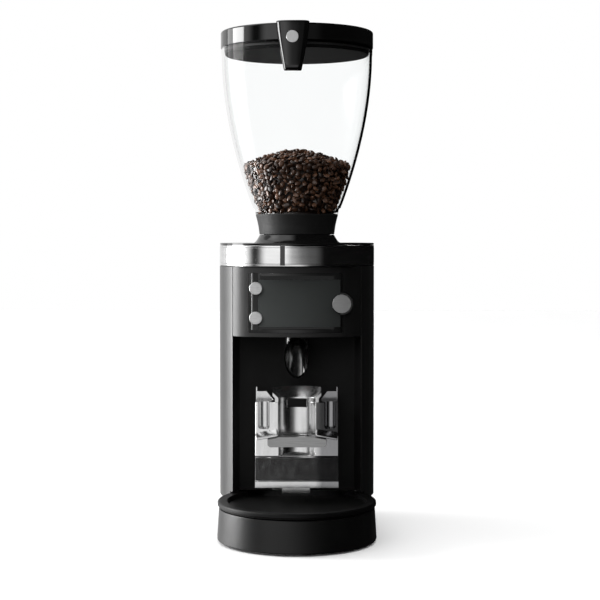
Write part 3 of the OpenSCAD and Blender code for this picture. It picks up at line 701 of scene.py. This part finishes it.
# %% Adjusting ring
z1 = panel_high.z + 29.2
ring_profile = rounded(
    [(61, 380), (104.5, 380), (104.5, ring_low.z), (ring_r - 0.2, ring_low.z), (ring_r, ring_low.z + 3.2),
     (ring_r - 0.5, ring_low.z + 3.7), (ring_r, ring_low.z + 4.2), (ring_r, z1 - 3.4),
     (ring_r - 0.5, z1 - 2.9), (ring_r, z1 - 2.4), (ring_r - 0.2, z1), (104.5, z1), (104.5, 384),
     (68, 384), (68, 397), (61, 397)],
    [0.5, 0, 0.5, 1.0, 0.2, 0.1, 0.2, 0.2, 0.1, 0.2, 1.0, 0.5, 0, 0, 0.5, 0.5], steps=3)
ring = spun("chrome_ring", ring_profile, "ring", replaced=["adjusting_ring"], steps=240)
bm = bmesh.new()
add_box(bm, (-3.3, -ring_r - 3, ring_low.z + 1.6), (3.3, -ring_r + 2.6, z1 + 2))
for i in range(3):
    key = bmesh.new()
    add_box(key, (-5.2, -65.5, 384.01), (5.2, -50, 400))
    bmesh.ops.rotate(key, verts=key.verts, matrix=Matrix.Rotation(math.radians(120 * i), 3, "Z"))
    add_part(bm, key)
index_turn = Matrix.Rotation(math.radians(-10.2), 3, "Z")
front_verts = [v for v in bm.verts if v.co.y < -90]
bmesh.ops.rotate(bm, verts=front_verts, matrix=index_turn)
bmesh.ops.translate(bm, verts=bm.verts, vec=(0, column_y, 0))
carve(ring, bm)
coat(ring, "chrome")
bm = bmesh.new()
add_box(bm, (-3.25, -ring_r + 1.6, ring_low.z + 1.7), (3.25, -ring_r + 2.55, z1 - 0.1))
bmesh.ops.rotate(bm, verts=bm.verts, matrix=index_turn)
bmesh.ops.translate(bm, verts=bm.verts, vec=(0, column_y, 0))
index_mark = finish_piece("index_inlay", bm, "ring")
coat(index_mark, "gloss_black")

# %% [markdown]
# ## Top plate and neck
# A thin gloss plate covers the mechanism. The neck rises from it in a hollow curve and carries the hopper.

# %% Top plate and neck flange
neck_r = 47.6
plate_profile = rounded([(neck_r, plate_low.z), (ring_r - 0.3, plate_low.z), (ring_r - 0.3, plate_high.z),
                         (neck_r, plate_high.z)], [0.3, 0.8, 1.0, 0.3])
top_plate = spun("top_disc", plate_profile, "housing", replaced=["top_plate"], steps=192)
coat(top_plate, "gloss_black")
neck_profile = [(neck_r, flange_low.z + 0.02), (61.5, flange_low.z + 0.02), (58.6, flange_low.z + 2.2),
                (56.5, flange_low.z + 5), (54.8, flange_low.z + 8), (53.6, flange_low.z + 10.2),
                (53.0, flange_high.z - 0.5), (52.5, flange_high.z), (neck_r, flange_high.z)]
neck = spun("neck", neck_profile, "housing", replaced=["neck_flange"], steps=128)
coat(neck, "gloss_black")

# %% [markdown]
# ## Hopper collar and gate
# The collar is moulded in matt black plastic. A slot at its rear lets the steel gate slide out, which shuts
# the beans off when the hopper is lifted away.

# %% Collar and gate
collar_profile = rounded(
    [(43, 403.4), (47, 403.4), (47, 414.4), (53.2, 414.4), (53.6, 418), (54.9, 427), (56.4, 434),
     (58.4, 441.6), (58.5, 443), (50.8, 443), (50.8, 434), (43, 434)],
    [0.3, 0.5, 0.2, 0.6, 2, 4, 4, 1, 0.6, 0.5, 0, 0.5], steps=4)
collar = spun("collar", collar_profile, "hopper", replaced=["hopper_collar"], steps=128)
gate_low = span("hopper_gate")[0]
slot_r, slot_z0, slot_z1 = 45.4, gate_low.z - 0.4, gate_low.z + 3.4
bm = bmesh.new()
add_box(bm, (-slot_r, column_y, slot_z0), (slot_r, column_y + 80, slot_z1))
add_spun(bm, [(0, slot_z0), (slot_r, slot_z0), (slot_r, slot_z1), (0, slot_z1)], (0, column_y), steps=96)
carve(collar, bm)
coat(collar, "collar_black")

# %% [markdown]
# ## The hopper
# The hopper's side follows one power curve from the throat to the mouth, and it is the same curve as in the
# CAD. Its wall is a closed shell with both its faces, so that it refracts as a moulded plastic does.

# %% Hopper shell
mouth_r, throat_r, mouth_z, throat_z, wall_t = 106.5, 64.2, 665.0, 457.0, 3.5


def hopper_r(z):
    return mouth_r - (mouth_r - throat_r) * ((mouth_z - z) / (mouth_z - throat_z)) ** 1.84


heights = [throat_z + (mouth_z - throat_z) * i / 40 for i in range(41)]
outside = [(50.4, 434.3), (50.4, 443.3), (58.4, 443.3), (58.7, 444), (59.3, 449), (60.5, 451.2),
           (62.1, 451.9), (62.6, 452.8), (62.9, 454.4)]
outside += [(hopper_r(z), z) for z in heights]
outside += [(mouth_r + 0.4, 669), (mouth_r + 0.5, shell_high.z - 0.5), (mouth_r, shell_high.z)]
inside = [(103.7, shell_high.z), (103.2, shell_high.z - 0.5), (103.1, 668)]
inside += [(hopper_r(z) - wall_t, z) for z in reversed(heights)]
inside += [(58.5, 453), (56.2, 450.5), (55.2, 448), (54.2, 446.4), (47.4, 445), (47.0, 444.4), (47.0, 434.3)]
hopper = spun("hopper_glass", outside + inside, "hopper", replaced=["hopper_shell"], steps=192)
coat(hopper, "clear_hopper")
hopper.visible_shadow = hopper.visible_diffuse = hopper.visible_glossy = False
print("hopper:", len(hopper.data.polygons), "faces")

# %% [markdown]
# ## Coffee beans
# The heap is a few thousand beans. One bean is a squashed ball, flat on one side, with its crease along that
# side, and it has few faces because it repeats so often. Beans fill only a skin under the heap's surface and
# behind the clear wall: a dark core stands for the rest. Throwing darts, and keeping each one that lands far
# enough from the others, gives an even but random packing.

# %% One bean
def bean_mesh():
    bm = bmesh.new()
    bmesh.ops.create_uvsphere(bm, u_segments=10, v_segments=6, radius=1)
    for v in bm.verts:
        x, y, z = v.co
        v.co = Vector((z, y, x))
    for v in bm.verts:
        x, y, z = v.co
        flat = z < -0.05
        v.co.z = z * (0.45 if flat else 0.92)
        if flat and abs(y) < 0.15:
            v.co.z *= 0.35
        v.co.x *= 1.0 + 0.04 * z
    bmesh.ops.recalc_face_normals(bm, faces=bm.faces)
    mesh = bpy.data.meshes.new("bean")
    bm.to_mesh(mesh)
    bm.free()
    return mesh


one_bean = bean_mesh()
print("one bean:", len(one_bean.polygons), "faces")

# %% Where the beans lie
heap_top, heap_edge, bean_floor = 534.0, 511.0, 447.0
rng = random.Random(7)


def wall_in(z):
    """Inner radius of the hopper at a height."""
    return hopper_r(max(z, throat_z)) - wall_t if z > 455 else 55.0 + (z - 447) * 0.55


def heap_z(r):
    """Height of the heap at a distance from its middle, with gentle lumps left out."""
    return heap_top - (heap_top - heap_edge) * (min(r, 80) / 78) ** 1.6


def scatter(count, spacing):
    """Random points in the skin of the heap, no two nearer than the spacing."""
    cell, taken, found = spacing, {}, []
    for _ in range(count):
        z = rng.uniform(bean_floor, heap_top)
        r = 78 * math.sqrt(rng.random())
        if r > wall_in(z) - 3.4 or z > heap_z(r):
            continue
        depth_wall, depth_top = wall_in(z) - 3.4 - r, heap_z(r) - z
        if min(depth_wall, depth_top) > 11:
            continue
        a = rng.uniform(0, 2 * math.pi)
        p = Vector((r * math.cos(a), r * math.sin(a), z))
        key = tuple(int(c // cell) for c in p)
        near = [q for dx in (-1, 0, 1) for dy in (-1, 0, 1) for dz in (-1, 0, 1)
                for q in taken.get((key[0] + dx, key[1] + dy, key[2] + dz), ())]
        if any((p - q).length < spacing for q in near):
            continue
        taken.setdefault(key, []).append(p)
        found.append((p, depth_wall < depth_top))
    return found


spots = scatter(130000, 5.5)
print(len(spots), "beans")

# %% Lay the beans
def lay_beans(name, chosen):
    """Joins a bean at each spot into one piece, each with its own size, turn and tone."""
    bm = bmesh.new()
    tone = bm.verts.layers.float.new("tone")
    for spot, by_wall in chosen:
        out = Vector((spot.x, spot.y, 0)).normalized() if by_wall else Vector((0, 0, 1))
        up = (out + 0.55 * Vector((rng.gauss(0, 1), rng.gauss(0, 1), rng.gauss(0, 1)))).normalized()
        if rng.random() < 0.45:
            up = -up
        turn = up.to_track_quat("Z", "Y").to_matrix() @ Matrix.Rotation(rng.uniform(0, 2 * math.pi), 3, "Z")
        length, width, thick = rng.uniform(4.3, 5.0), rng.uniform(3.3, 3.8), rng.uniform(2.5, 3.0)
        size = Matrix.Diagonal((length, width, thick))
        before = len(bm.verts)
        bm.from_mesh(one_bean)
        bm.verts.ensure_lookup_table()
        own = rng.random()
        for v in bm.verts[before:]:
            v.co = turn @ (size @ v.co) + spot + Vector((0, column_y, 0))
            v[tone] = own
    piece = finish_piece(name, bm, "hopper", smooth=60, recalc=False)
    piece.data.materials.append(finishes["beans"])
    return piece


sides = [[s for s in spots if s[1] and s[0].y < 0], [s for s in spots if s[1] and s[0].y >= 0],
         [s for s in spots if not s[1]]]
bean_pieces = [lay_beans(name, chosen) for name, chosen in
               zip(("beans_front", "beans_rear", "beans_top"), sides)]
core = [(0, 428), (42.4, 428), (42.4, 434.6), (46.4, 435), (46.4, 445.6), (wall_in(449) - 7, 449)]
core += [(wall_in(z) - 8, z) for z in range(456, 505, 8)]
core += [(r, heap_z(r) - 7) for r in range(64, 0, -8)] + [(0, heap_top - 7)]
heart = spun("bean_core", core, "hopper", replaced=["coffee_beans"], steps=64)
heart.data.materials.append(finishes["beans"])
print("bean pieces:", [len(p.data.polygons) for p in bean_pieces])

# %% [markdown]
# ## The lid
# The lid is a gloss black cap over a liner that reaches down into the hopper's mouth. The tab at the front is
# a flat-fronted grip that tapers towards its tip, with a plain silver badge let into it.

# %% Lid, liner and seal
lid_r = (lid_high.x - lid_low.x) / 2
cap_profile = rounded(
    [(0, lid_high.z - 3), (lid_r - 3.4, lid_high.z - 3), (lid_r - 3.4, lid_low.z), (lid_r, lid_low.z),
     (lid_r, lid_high.z), (0, lid_high.z)], [0, 0.5, 0.3, 0.8, 2.6, 0], steps=6)
cap = spun("lid_cap", cap_profile, "lid", replaced=["hopper_lid"], steps=192)
coat(cap, "gloss_black")
liner_profile = rounded(
    [(0, 667.2), (102, 667.2), (102, 671.6), (100.4, 671.6), (100.4, 674.4), (102, 674.4), (102, 677),
     (99, 677), (99, 697), (96.5, 697), (96.5, 669.7), (0, 669.7)],
    [0, 1.4, 0.3, 0, 0, 0.3, 0.3, 0, 0, 0, 0.5, 0])
liner = spun("lid_insert", liner_profile, "lid", replaced=["lid_liner"], steps=160)
coat(liner, "liner_black")

# %% Lid tab
lean = Matrix.Translation((0, column_y, 0)) @ Matrix.Rotation(math.radians(-3), 4, "Z")


def across(r, z, w, out, steps=32):
    """A level slice of the tab: its back hugs the lid, and its front is a bow that stands out."""
    front = [(w * (2 * i / steps - 1), -(r + out * (1 - abs(2 * i / steps - 1) ** 9)))
             for i in range(steps + 1)]
    rear = [(w - 2 * w * i / 4, -math.sqrt(r * r - (w - 2 * w * i / 4) ** 2)) for i in range(5)]
    front = [(x, -math.sqrt(r * r - x * x) + (y + r)) for x, y in front]
    return [(x, y, z) for x, y in front[1:-1]], [(x, y, z) for x, y in rear]


def loft(slices):
    """Bridges level slices into a closed skin."""
    bm = bmesh.new()
    loops = []
    for points in slices:
        verts = [bm.verts.new(p) for p in points]
        loops.append([bm.edges.new((verts[i - 1], verts[i])) for i in range(len(verts))])
    for low, high in zip(loops, loops[1:]):
        bmesh.ops.bridge_loops(bm, edges=low + high)
    for end in (loops[0], loops[-1]):
        bmesh.ops.contextual_create(bm, geom=end)
    return bm


levels = [(634.6, 10.8, 1.8), (635.4, 11.8, 4.6), (637.5, 12.5, 6.2), (642, 13.4, 6.9), (652, 15.3, 7.1),
          (664, 17.6, 7.2), (672, 19.0, 7.1), (679.5, 20.1, 6.9), (690, 21.6, 6.8), (699.5, 22.5, 6.5),
          (701.3, 22.4, 6.0), (701.9, 21.6, 5.0)]
bm = loft([sum(across(lid_r + 0.15, z, w, out), []) for z, w, out in levels])
bmesh.ops.transform(bm, matrix=lean, verts=bm.verts)
tab = finish_piece("tab_grip", bm, "lid", ["lid_tab"], smooth=50)
coat(tab, "gloss_black")
badge_profile = rounded([(0, 0), (8.2, 0), (8.2, 1.4), (0, 1.4)], [0, 0.4, 0, 0])
bm = bmesh.new()
add_spun(bm, badge_profile, steps=64)
lay = lean @ Matrix.Translation((0, -lid_r - 7.5, 680)) @ Matrix.Rotation(math.radians(-90), 4, "X")
bmesh.ops.transform(bm, matrix=lay, verts=bm.verts)
badge = finish_piece("tab_badge", bm, "lid", ["lid_badge"])
coat(badge, "satin_silver")

# %% [markdown]
# ## The spout
# The spout is a chromed tube that leans forward under the head. It is cut back on a slant, so the grounds
# slide down its rear wall to a rounded lip.

# %% Spout
spout_r, spout_wall, spout_cut = 17.4, 1.8, math.radians(15.5)
spout_profile = [(spout_r - spout_wall, -2), (spout_r, -2), (spout_r, 60), (spout_r - spout_wall, 60)]
bm = bmesh.new()
add_spun(bm, spout_profile, steps=96)
bmesh.ops.transform(bm, matrix=tilt, verts=bm.verts)
for at, normal in (((0, 0, 276.0), (0, 0, 1)),
                   ((0, -16, 219), (0, -math.cos(spout_cut), -math.sin(spout_cut)))):
    cut = bmesh.ops.bisect_plane(bm, geom=bm.verts[:] + bm.edges[:] + bm.faces[:], plane_co=at,
                                 plane_no=normal, clear_outer=True)
    rims = [e for e in cut["geom_cut"] if isinstance(e, bmesh.types.BMEdge)]
    bmesh.ops.bridge_loops(bm, edges=rims)
soften(bm, 0.5, angle=50, segments=2)
spout = finish_piece("spout_tube", bm, "housing", ["spout"])
coat(spout, "chrome")

# %% [markdown]
# ## The portafilter holder
# The holder is the brightest part: a polished steel cradle. An upright trough takes the body of the
# portafilter, a bar in front of it carries the weight, and an apron slopes down to a lip.

# %% Cradle
block_y0, block_y1, block_z0, block_z1 = -46.0, -12.1, 112.0, 186.0
step_z, lower_y = 140.6, -44.5
half_w, trough_r, trough_y = 56.6, 29.0, -60.0


def cradle_plan(face, set_back):
    """Plan of the cradle: a block with the trough cut out of its face, its outer ends set back."""
    open_a = math.degrees(math.acos((face - trough_y) / trough_r))
    hollow = arc(0, trough_y, trough_r, 180 + open_a, 180 - open_a, 48)
    return ([(-half_w, block_y1), (-half_w, face + set_back)] + hollow
            + [(half_w, face + set_back), (half_w, block_y1)])


bm = bmesh.new()
add_prism(bm, cradle_plan(block_y0, 6.4), step_z, block_z1)
soften(bm, 0.9, angle=24, segments=3)
cradle = finish_piece("cradle", bm, "holder", ["holder_cradle"])
bm = bmesh.new()
for side in (-1, 1):
    add_spun(bm, [(0, 149), (5.5, 149), (8, 151.5), (8, 200), (0, 200)], (side * 45.2, -42.5), steps=48)
key_room = ((-14, -38, 177.8), (14, -19.5, 190))
add_box(bm, *key_room)
carve(cradle, bm)
bm = bmesh.new()
add_prism(bm, cradle_plan(lower_y, 0), block_z0, step_z)
soften(bm, 0.8, angle=40)
lower_block = finish_piece("cradle_foot", bm, "holder")

# %% Lips and floor of the cradle
bm = bmesh.new()
for side in (-1, 1):
    lip = bmesh.new()
    add_prism(lip, [(-42, 0), (-55.9, 0), (-55.9, 3), (-46.5, 8.9), (-42, 8.9)], 0, 29, along="x")
    soften(lip, 0.8)
    turn = Matrix.Diagonal((side, 1, 1, 1)) @ Matrix.Translation((26, 0, step_z))
    bmesh.ops.transform(lip, matrix=turn @ Matrix.Rotation(math.radians(10.2), 4, "Y"), verts=lip.verts)
    add_part(bm, lip)
rise = [(-44, 112), (-44, 112.6), (-30, 116.6), (-14, 116.6), (-14, 112)]
add_prism(bm, rise, -24, 24, along="x")
lips = finish_piece("cradle_lips", bm, "holder")
for part in (cradle, lower_block, lips):
    coat(part, "polished_steel")

# %% Dish above the trough
dish = [(trough_r, block_z1), (trough_r, 192), (trough_r + 13, 206), (trough_r + 15.5, 206),
        (trough_r + 4, 191.4), (trough_r + 4, block_z1)]
bm = bmesh.new()
add_spun(bm, rounded(dish, [0, 0.6, 0.8, 0.5, 1, 0]), (0, trough_y), steps=64, a0=95, a1=265)
dish_piece = finish_piece("catch_dish", bm, "holder")
carve_box(dish_piece, (-trough_r - 4, block_y0, 180), (trough_r + 4, block_y1, 220), keep="INTERSECT")
carve_box(dish_piece, *key_room)
coat(dish_piece, "polished_steel")

# %% Bracket, fork bar, apron, button and thumbscrew
bm = bmesh.new()
ears = [(-half_w, 71.6), (half_w, 71.6), (half_w, 204), (54.6, 204), (54.6, 198), (42, 198), (33, 186.6),
        (33, 182), (-33, 182), (-33, 186.6), (-42, 198), (-54.6, 198), (-54.6, 204), (-half_w, 204)]
add_prism(bm, ears, -12, -8, along="y")
add_box(bm, (-20, -52, 62.6), (18, -8, 70.2))
add_box(bm, (-20, -12, 70.3), (18, -8, 71.5))
add_box(bm, (-34, -12, 60), (-20.2, -8, 71.4))
for gib_x in (-22, 15.4):
    add_box(bm, (gib_x, -7.9, 84), (gib_x + 6.6, 0.9, 184))
soften(bm, 0.6, angle=40, segments=2)
bracket = finish_piece("bracket", bm, "holder", ["holder_bracket"])
coat(bracket, "polished_steel")
bm = bmesh.new()
bar = [(-40, 129), (-37, 126), (37, 126), (40, 129), (40, 136.6), (26, 139), (26, 140), (-26, 140),
       (-26, 139), (-40, 136.6)]
add_prism(bm, bar, -56, -46, along="y")
soften(bm, 0.5, angle=30, segments=2)
fork = finish_piece("fork", bm, "holder", ["fork_bar"])
coat(fork, "brushed_fork")
bm = bmesh.new()
slope = [(-12.1, 112), (-12.1, 109), (-46, 109), (-48.5, 107), (-60.5, 79), (-60.5, 71.6), (-64, 71.6),
         (-64, 81.1), (-61.5, 81.5), (-50, 111), (-48, 112)]
add_prism(bm, slope, -half_w, half_w, along="x")
soften(bm, 0.7, angle=15, segments=2)
apron = finish_piece("apron", bm, "holder", ["holder_apron"])
coat(apron, "polished_steel")
start_low, start_high = span("start_button")
bm = bmesh.new()
add_box(bm, start_low, start_high)
soften(bm, 1.2)
start = finish_piece("start_key", bm, "start", ["start_button"])
coat(start, "satin_black")

# %% [markdown]
# ## Floor, light and camera
# The floor is pale. One large soft light stands at the left, and a weaker one in front, so the round black
# surfaces run from grey at the left to black at the right.

# %% Floor
bm = bmesh.new()
bmesh.ops.create_grid(bm, x_segments=1, y_segments=1, size=6.0)
floor_mesh = bpy.data.meshes.new("floor")
bm.to_mesh(floor_mesh)
bm.free()
floor = bpy.data.objects.new("floor", floor_mesh)
bpy.context.collection.objects.link(floor)
floor_finish = finish("floor_white", 0.94, 0.95, 0.5, grain=2, bump=0.0, spread=0.03)
floor_mesh.materials.append(floor_finish)

floor.visible_glossy = False
floor.visible_diffuse = False

# %% [markdown]
# The studio is drawn in the world's own background. Glossy rays see soft cards that stand round the machine:
# a wall behind it at the left, a tall softbox beside it, a card in front at the left, and a faint one at the
# right. Everything else is dark, which keeps the black paint black. Diffuse rays see an overhead light.

# %% Studio
world = bpy.data.worlds.new("studio")
bpy.context.scene.world = world
world.use_nodes = True
tree = world.node_tree
tree.nodes.clear()


def node(kind, **settings):
    """A node of the studio, with its inputs wired or set."""
    made = tree.nodes.new(kind)
    for name, value in settings.items():
        if name.startswith("in"):
            socket = made.inputs[int(name[2:])]
            if isinstance(value, bpy.types.NodeSocket):
                tree.links.new(value, socket)
            else:
                socket.default_value = value
        else:
            setattr(made, name, value)
    return made.outputs[0]


def maths(operation, a, b=0.0):
    return node("ShaderNodeMath", operation=operation, in0=a, in1=b)


def ramp(value, low, high):
    """Rises softly from 0 at low to 1 at high."""
    made = tree.nodes.new("ShaderNodeMapRange")
    made.interpolation_type = "SMOOTHSTEP"
    tree.links.new(value, made.inputs["Value"])
    made.inputs["From Min"].default_value, made.inputs["From Max"].default_value = low, high
    return made.outputs["Result"]


direction = tree.nodes.new("ShaderNodeSeparateXYZ")
tree.links.new(tree.nodes.new("ShaderNodeTexCoord").outputs["Generated"], direction.inputs[0])
side, ahead, up = direction.outputs
azimuth = maths("MULTIPLY", maths("ARCTAN2", side, maths("MULTIPLY", ahead, -1.0)), 180 / math.pi)
glow = 0.001
for centre, width, soft, low, high, power in (
        (-157, 54, 8, -0.9, 0.9, 0.9),       # wall behind, at the left
        (-118, 36, 10, -0.9, 0.9, 0.42),     # its dim end
        (-86, 24, 8, -0.5, 0.75, 1.3),       # tall softbox at the left
        (-33, 40, 8, -0.035, 0.40, 1.4),     # card in front, at the left
        (-9, 18, 8, -0.12, 0.30, 0.4),       # its dim edge
        (-24, 70, 12, -0.40, -0.07, 0.9),    # pale floor in front
        (-70, 100, 20, 0.62, 0.95, 1.6),     # card overhead, at the left
        (16, 34, 9, -0.2, 0.30, 0.11)):      # faint card at the right
    off = maths("ABSOLUTE", maths("SUBTRACT", azimuth, float(centre)))
    across_card = ramp(off, width / 2 + soft, width / 2 - soft)
    upright = maths("MULTIPLY", ramp(up, low - 0.02, low + 0.02), ramp(up, high + 0.1, high - 0.1))
    card = maths("MULTIPLY", maths("MULTIPLY", across_card, upright), float(power))
    glow = maths("ADD", card, glow)
overhead = maths("MULTIPLY", ramp(up, 0.25, 0.6), 1.62)
path = tree.nodes.new("ShaderNodeLightPath").outputs
light = tree.nodes.new("ShaderNodeMix")
tree.links.new(maths("MINIMUM", path["Glossy Depth"], 1.0), light.inputs["Factor"])
light.inputs["A"].default_value = 1.0
tree.links.new(glow, light.inputs["B"])
pick = tree.nodes.new("ShaderNodeMix")
tree.links.new(maths("MINIMUM", path["Diffuse Depth"], 1.0), pick.inputs["Factor"])
tree.links.new(light.outputs["Result"], pick.inputs["A"])
tree.links.new(overhead, pick.inputs["B"])
background = tree.nodes.new("ShaderNodeBackground")
background.inputs["Color"].default_value = (1, 1, 1, 1)
tree.links.new(pick.outputs["Result"], background.inputs["Strength"])
tree.links.new(background.outputs[0], tree.nodes.new("ShaderNodeOutputWorld").inputs["Surface"])


# %% Lights
def soft_light(name, azimuth_deg, elevation_deg, distance, width, height, power):
    """A softbox that lights paint and beans but leaves no box in the chrome."""
    lamp = bpy.data.lights.new(name, "AREA")
    lamp.shape, lamp.size, lamp.size_y, lamp.energy = "RECTANGLE", width, height, power
    lamp_object = bpy.data.objects.new(name, lamp)
    bpy.context.collection.objects.link(lamp_object)
    a, e = math.radians(azimuth_deg), math.radians(elevation_deg)
    target = Vector((0, 0, 0.36))
    toward = Vector((math.sin(a) * math.cos(e), -math.cos(a) * math.cos(e), math.sin(e)))
    lamp_object.location = target + toward * distance
    lamp_object.rotation_euler = toward.to_track_quat("Z", "Y").to_euler()
    lamp_object.visible_glossy = lamp_object.visible_transmission = False
    return lamp_object


lamps = [soft_light("left_softbox", -100, 14, 1.6, 0.9, 1.2, 22),
         soft_light("front_softbox", -38, 22, 2.4, 1.0, 1.0, 9)]
paint_light = soft_light("paint_softbox", -107, 0, 1.6, 1.1, 1.6, 15.5)
gloss_light = soft_light("gloss_softbox", -98, 4, 1.6, 0.68, 1.2, 30)
paint_light.visible_glossy = gloss_light.visible_glossy = True


# %% [markdown]
# Light linking gives each lamp a collection of the pieces that it is meant for. The floor is in none of them,
# and the paint and the gloss parts each have a softbox of their own.

# %% What each light falls on
def lit(name, lamp_objects, belongs):
    """Limits lamps to the pieces for which belongs is true."""
    group = bpy.data.collections.new(name)
    for piece in bpy.data.objects:
        if piece.type == "MESH" and piece is not floor and piece.data.materials and piece.data.materials[0]:
            if belongs(piece.data.materials[0].name):
                group.objects.link(piece)
    for lamp_object in lamp_objects:
        lamp_object.light_linking.receiver_collection = group


lit("machine", lamps[:1], lambda material: True)
lit("metal_and_beans", lamps[1:], lambda material: not material.endswith("_black"))
lit("painted", [paint_light], lambda material: material.endswith("_black") and material != "gloss_black")
lit("glossy", [gloss_light], lambda material: material == "gloss_black")

# %% Camera
camera_data = bpy.data.cameras.new("camera")
camera_data.lens, camera_data.sensor_width = 88.6, 36
camera_data.shift_x, camera_data.shift_y = 0.00517, -0.03
camera = bpy.data.objects.new("camera", camera_data)
bpy.context.collection.objects.link(camera)
camera.location = (0.0, -2.0485, 0.4138)
camera_tilt = 1.83  # degrees below level
camera.rotation_euler = (math.radians(90 - camera_tilt), 0, 0)
bpy.context.scene.camera = camera
bpy.context.scene.view_settings.view_transform = "Standard"
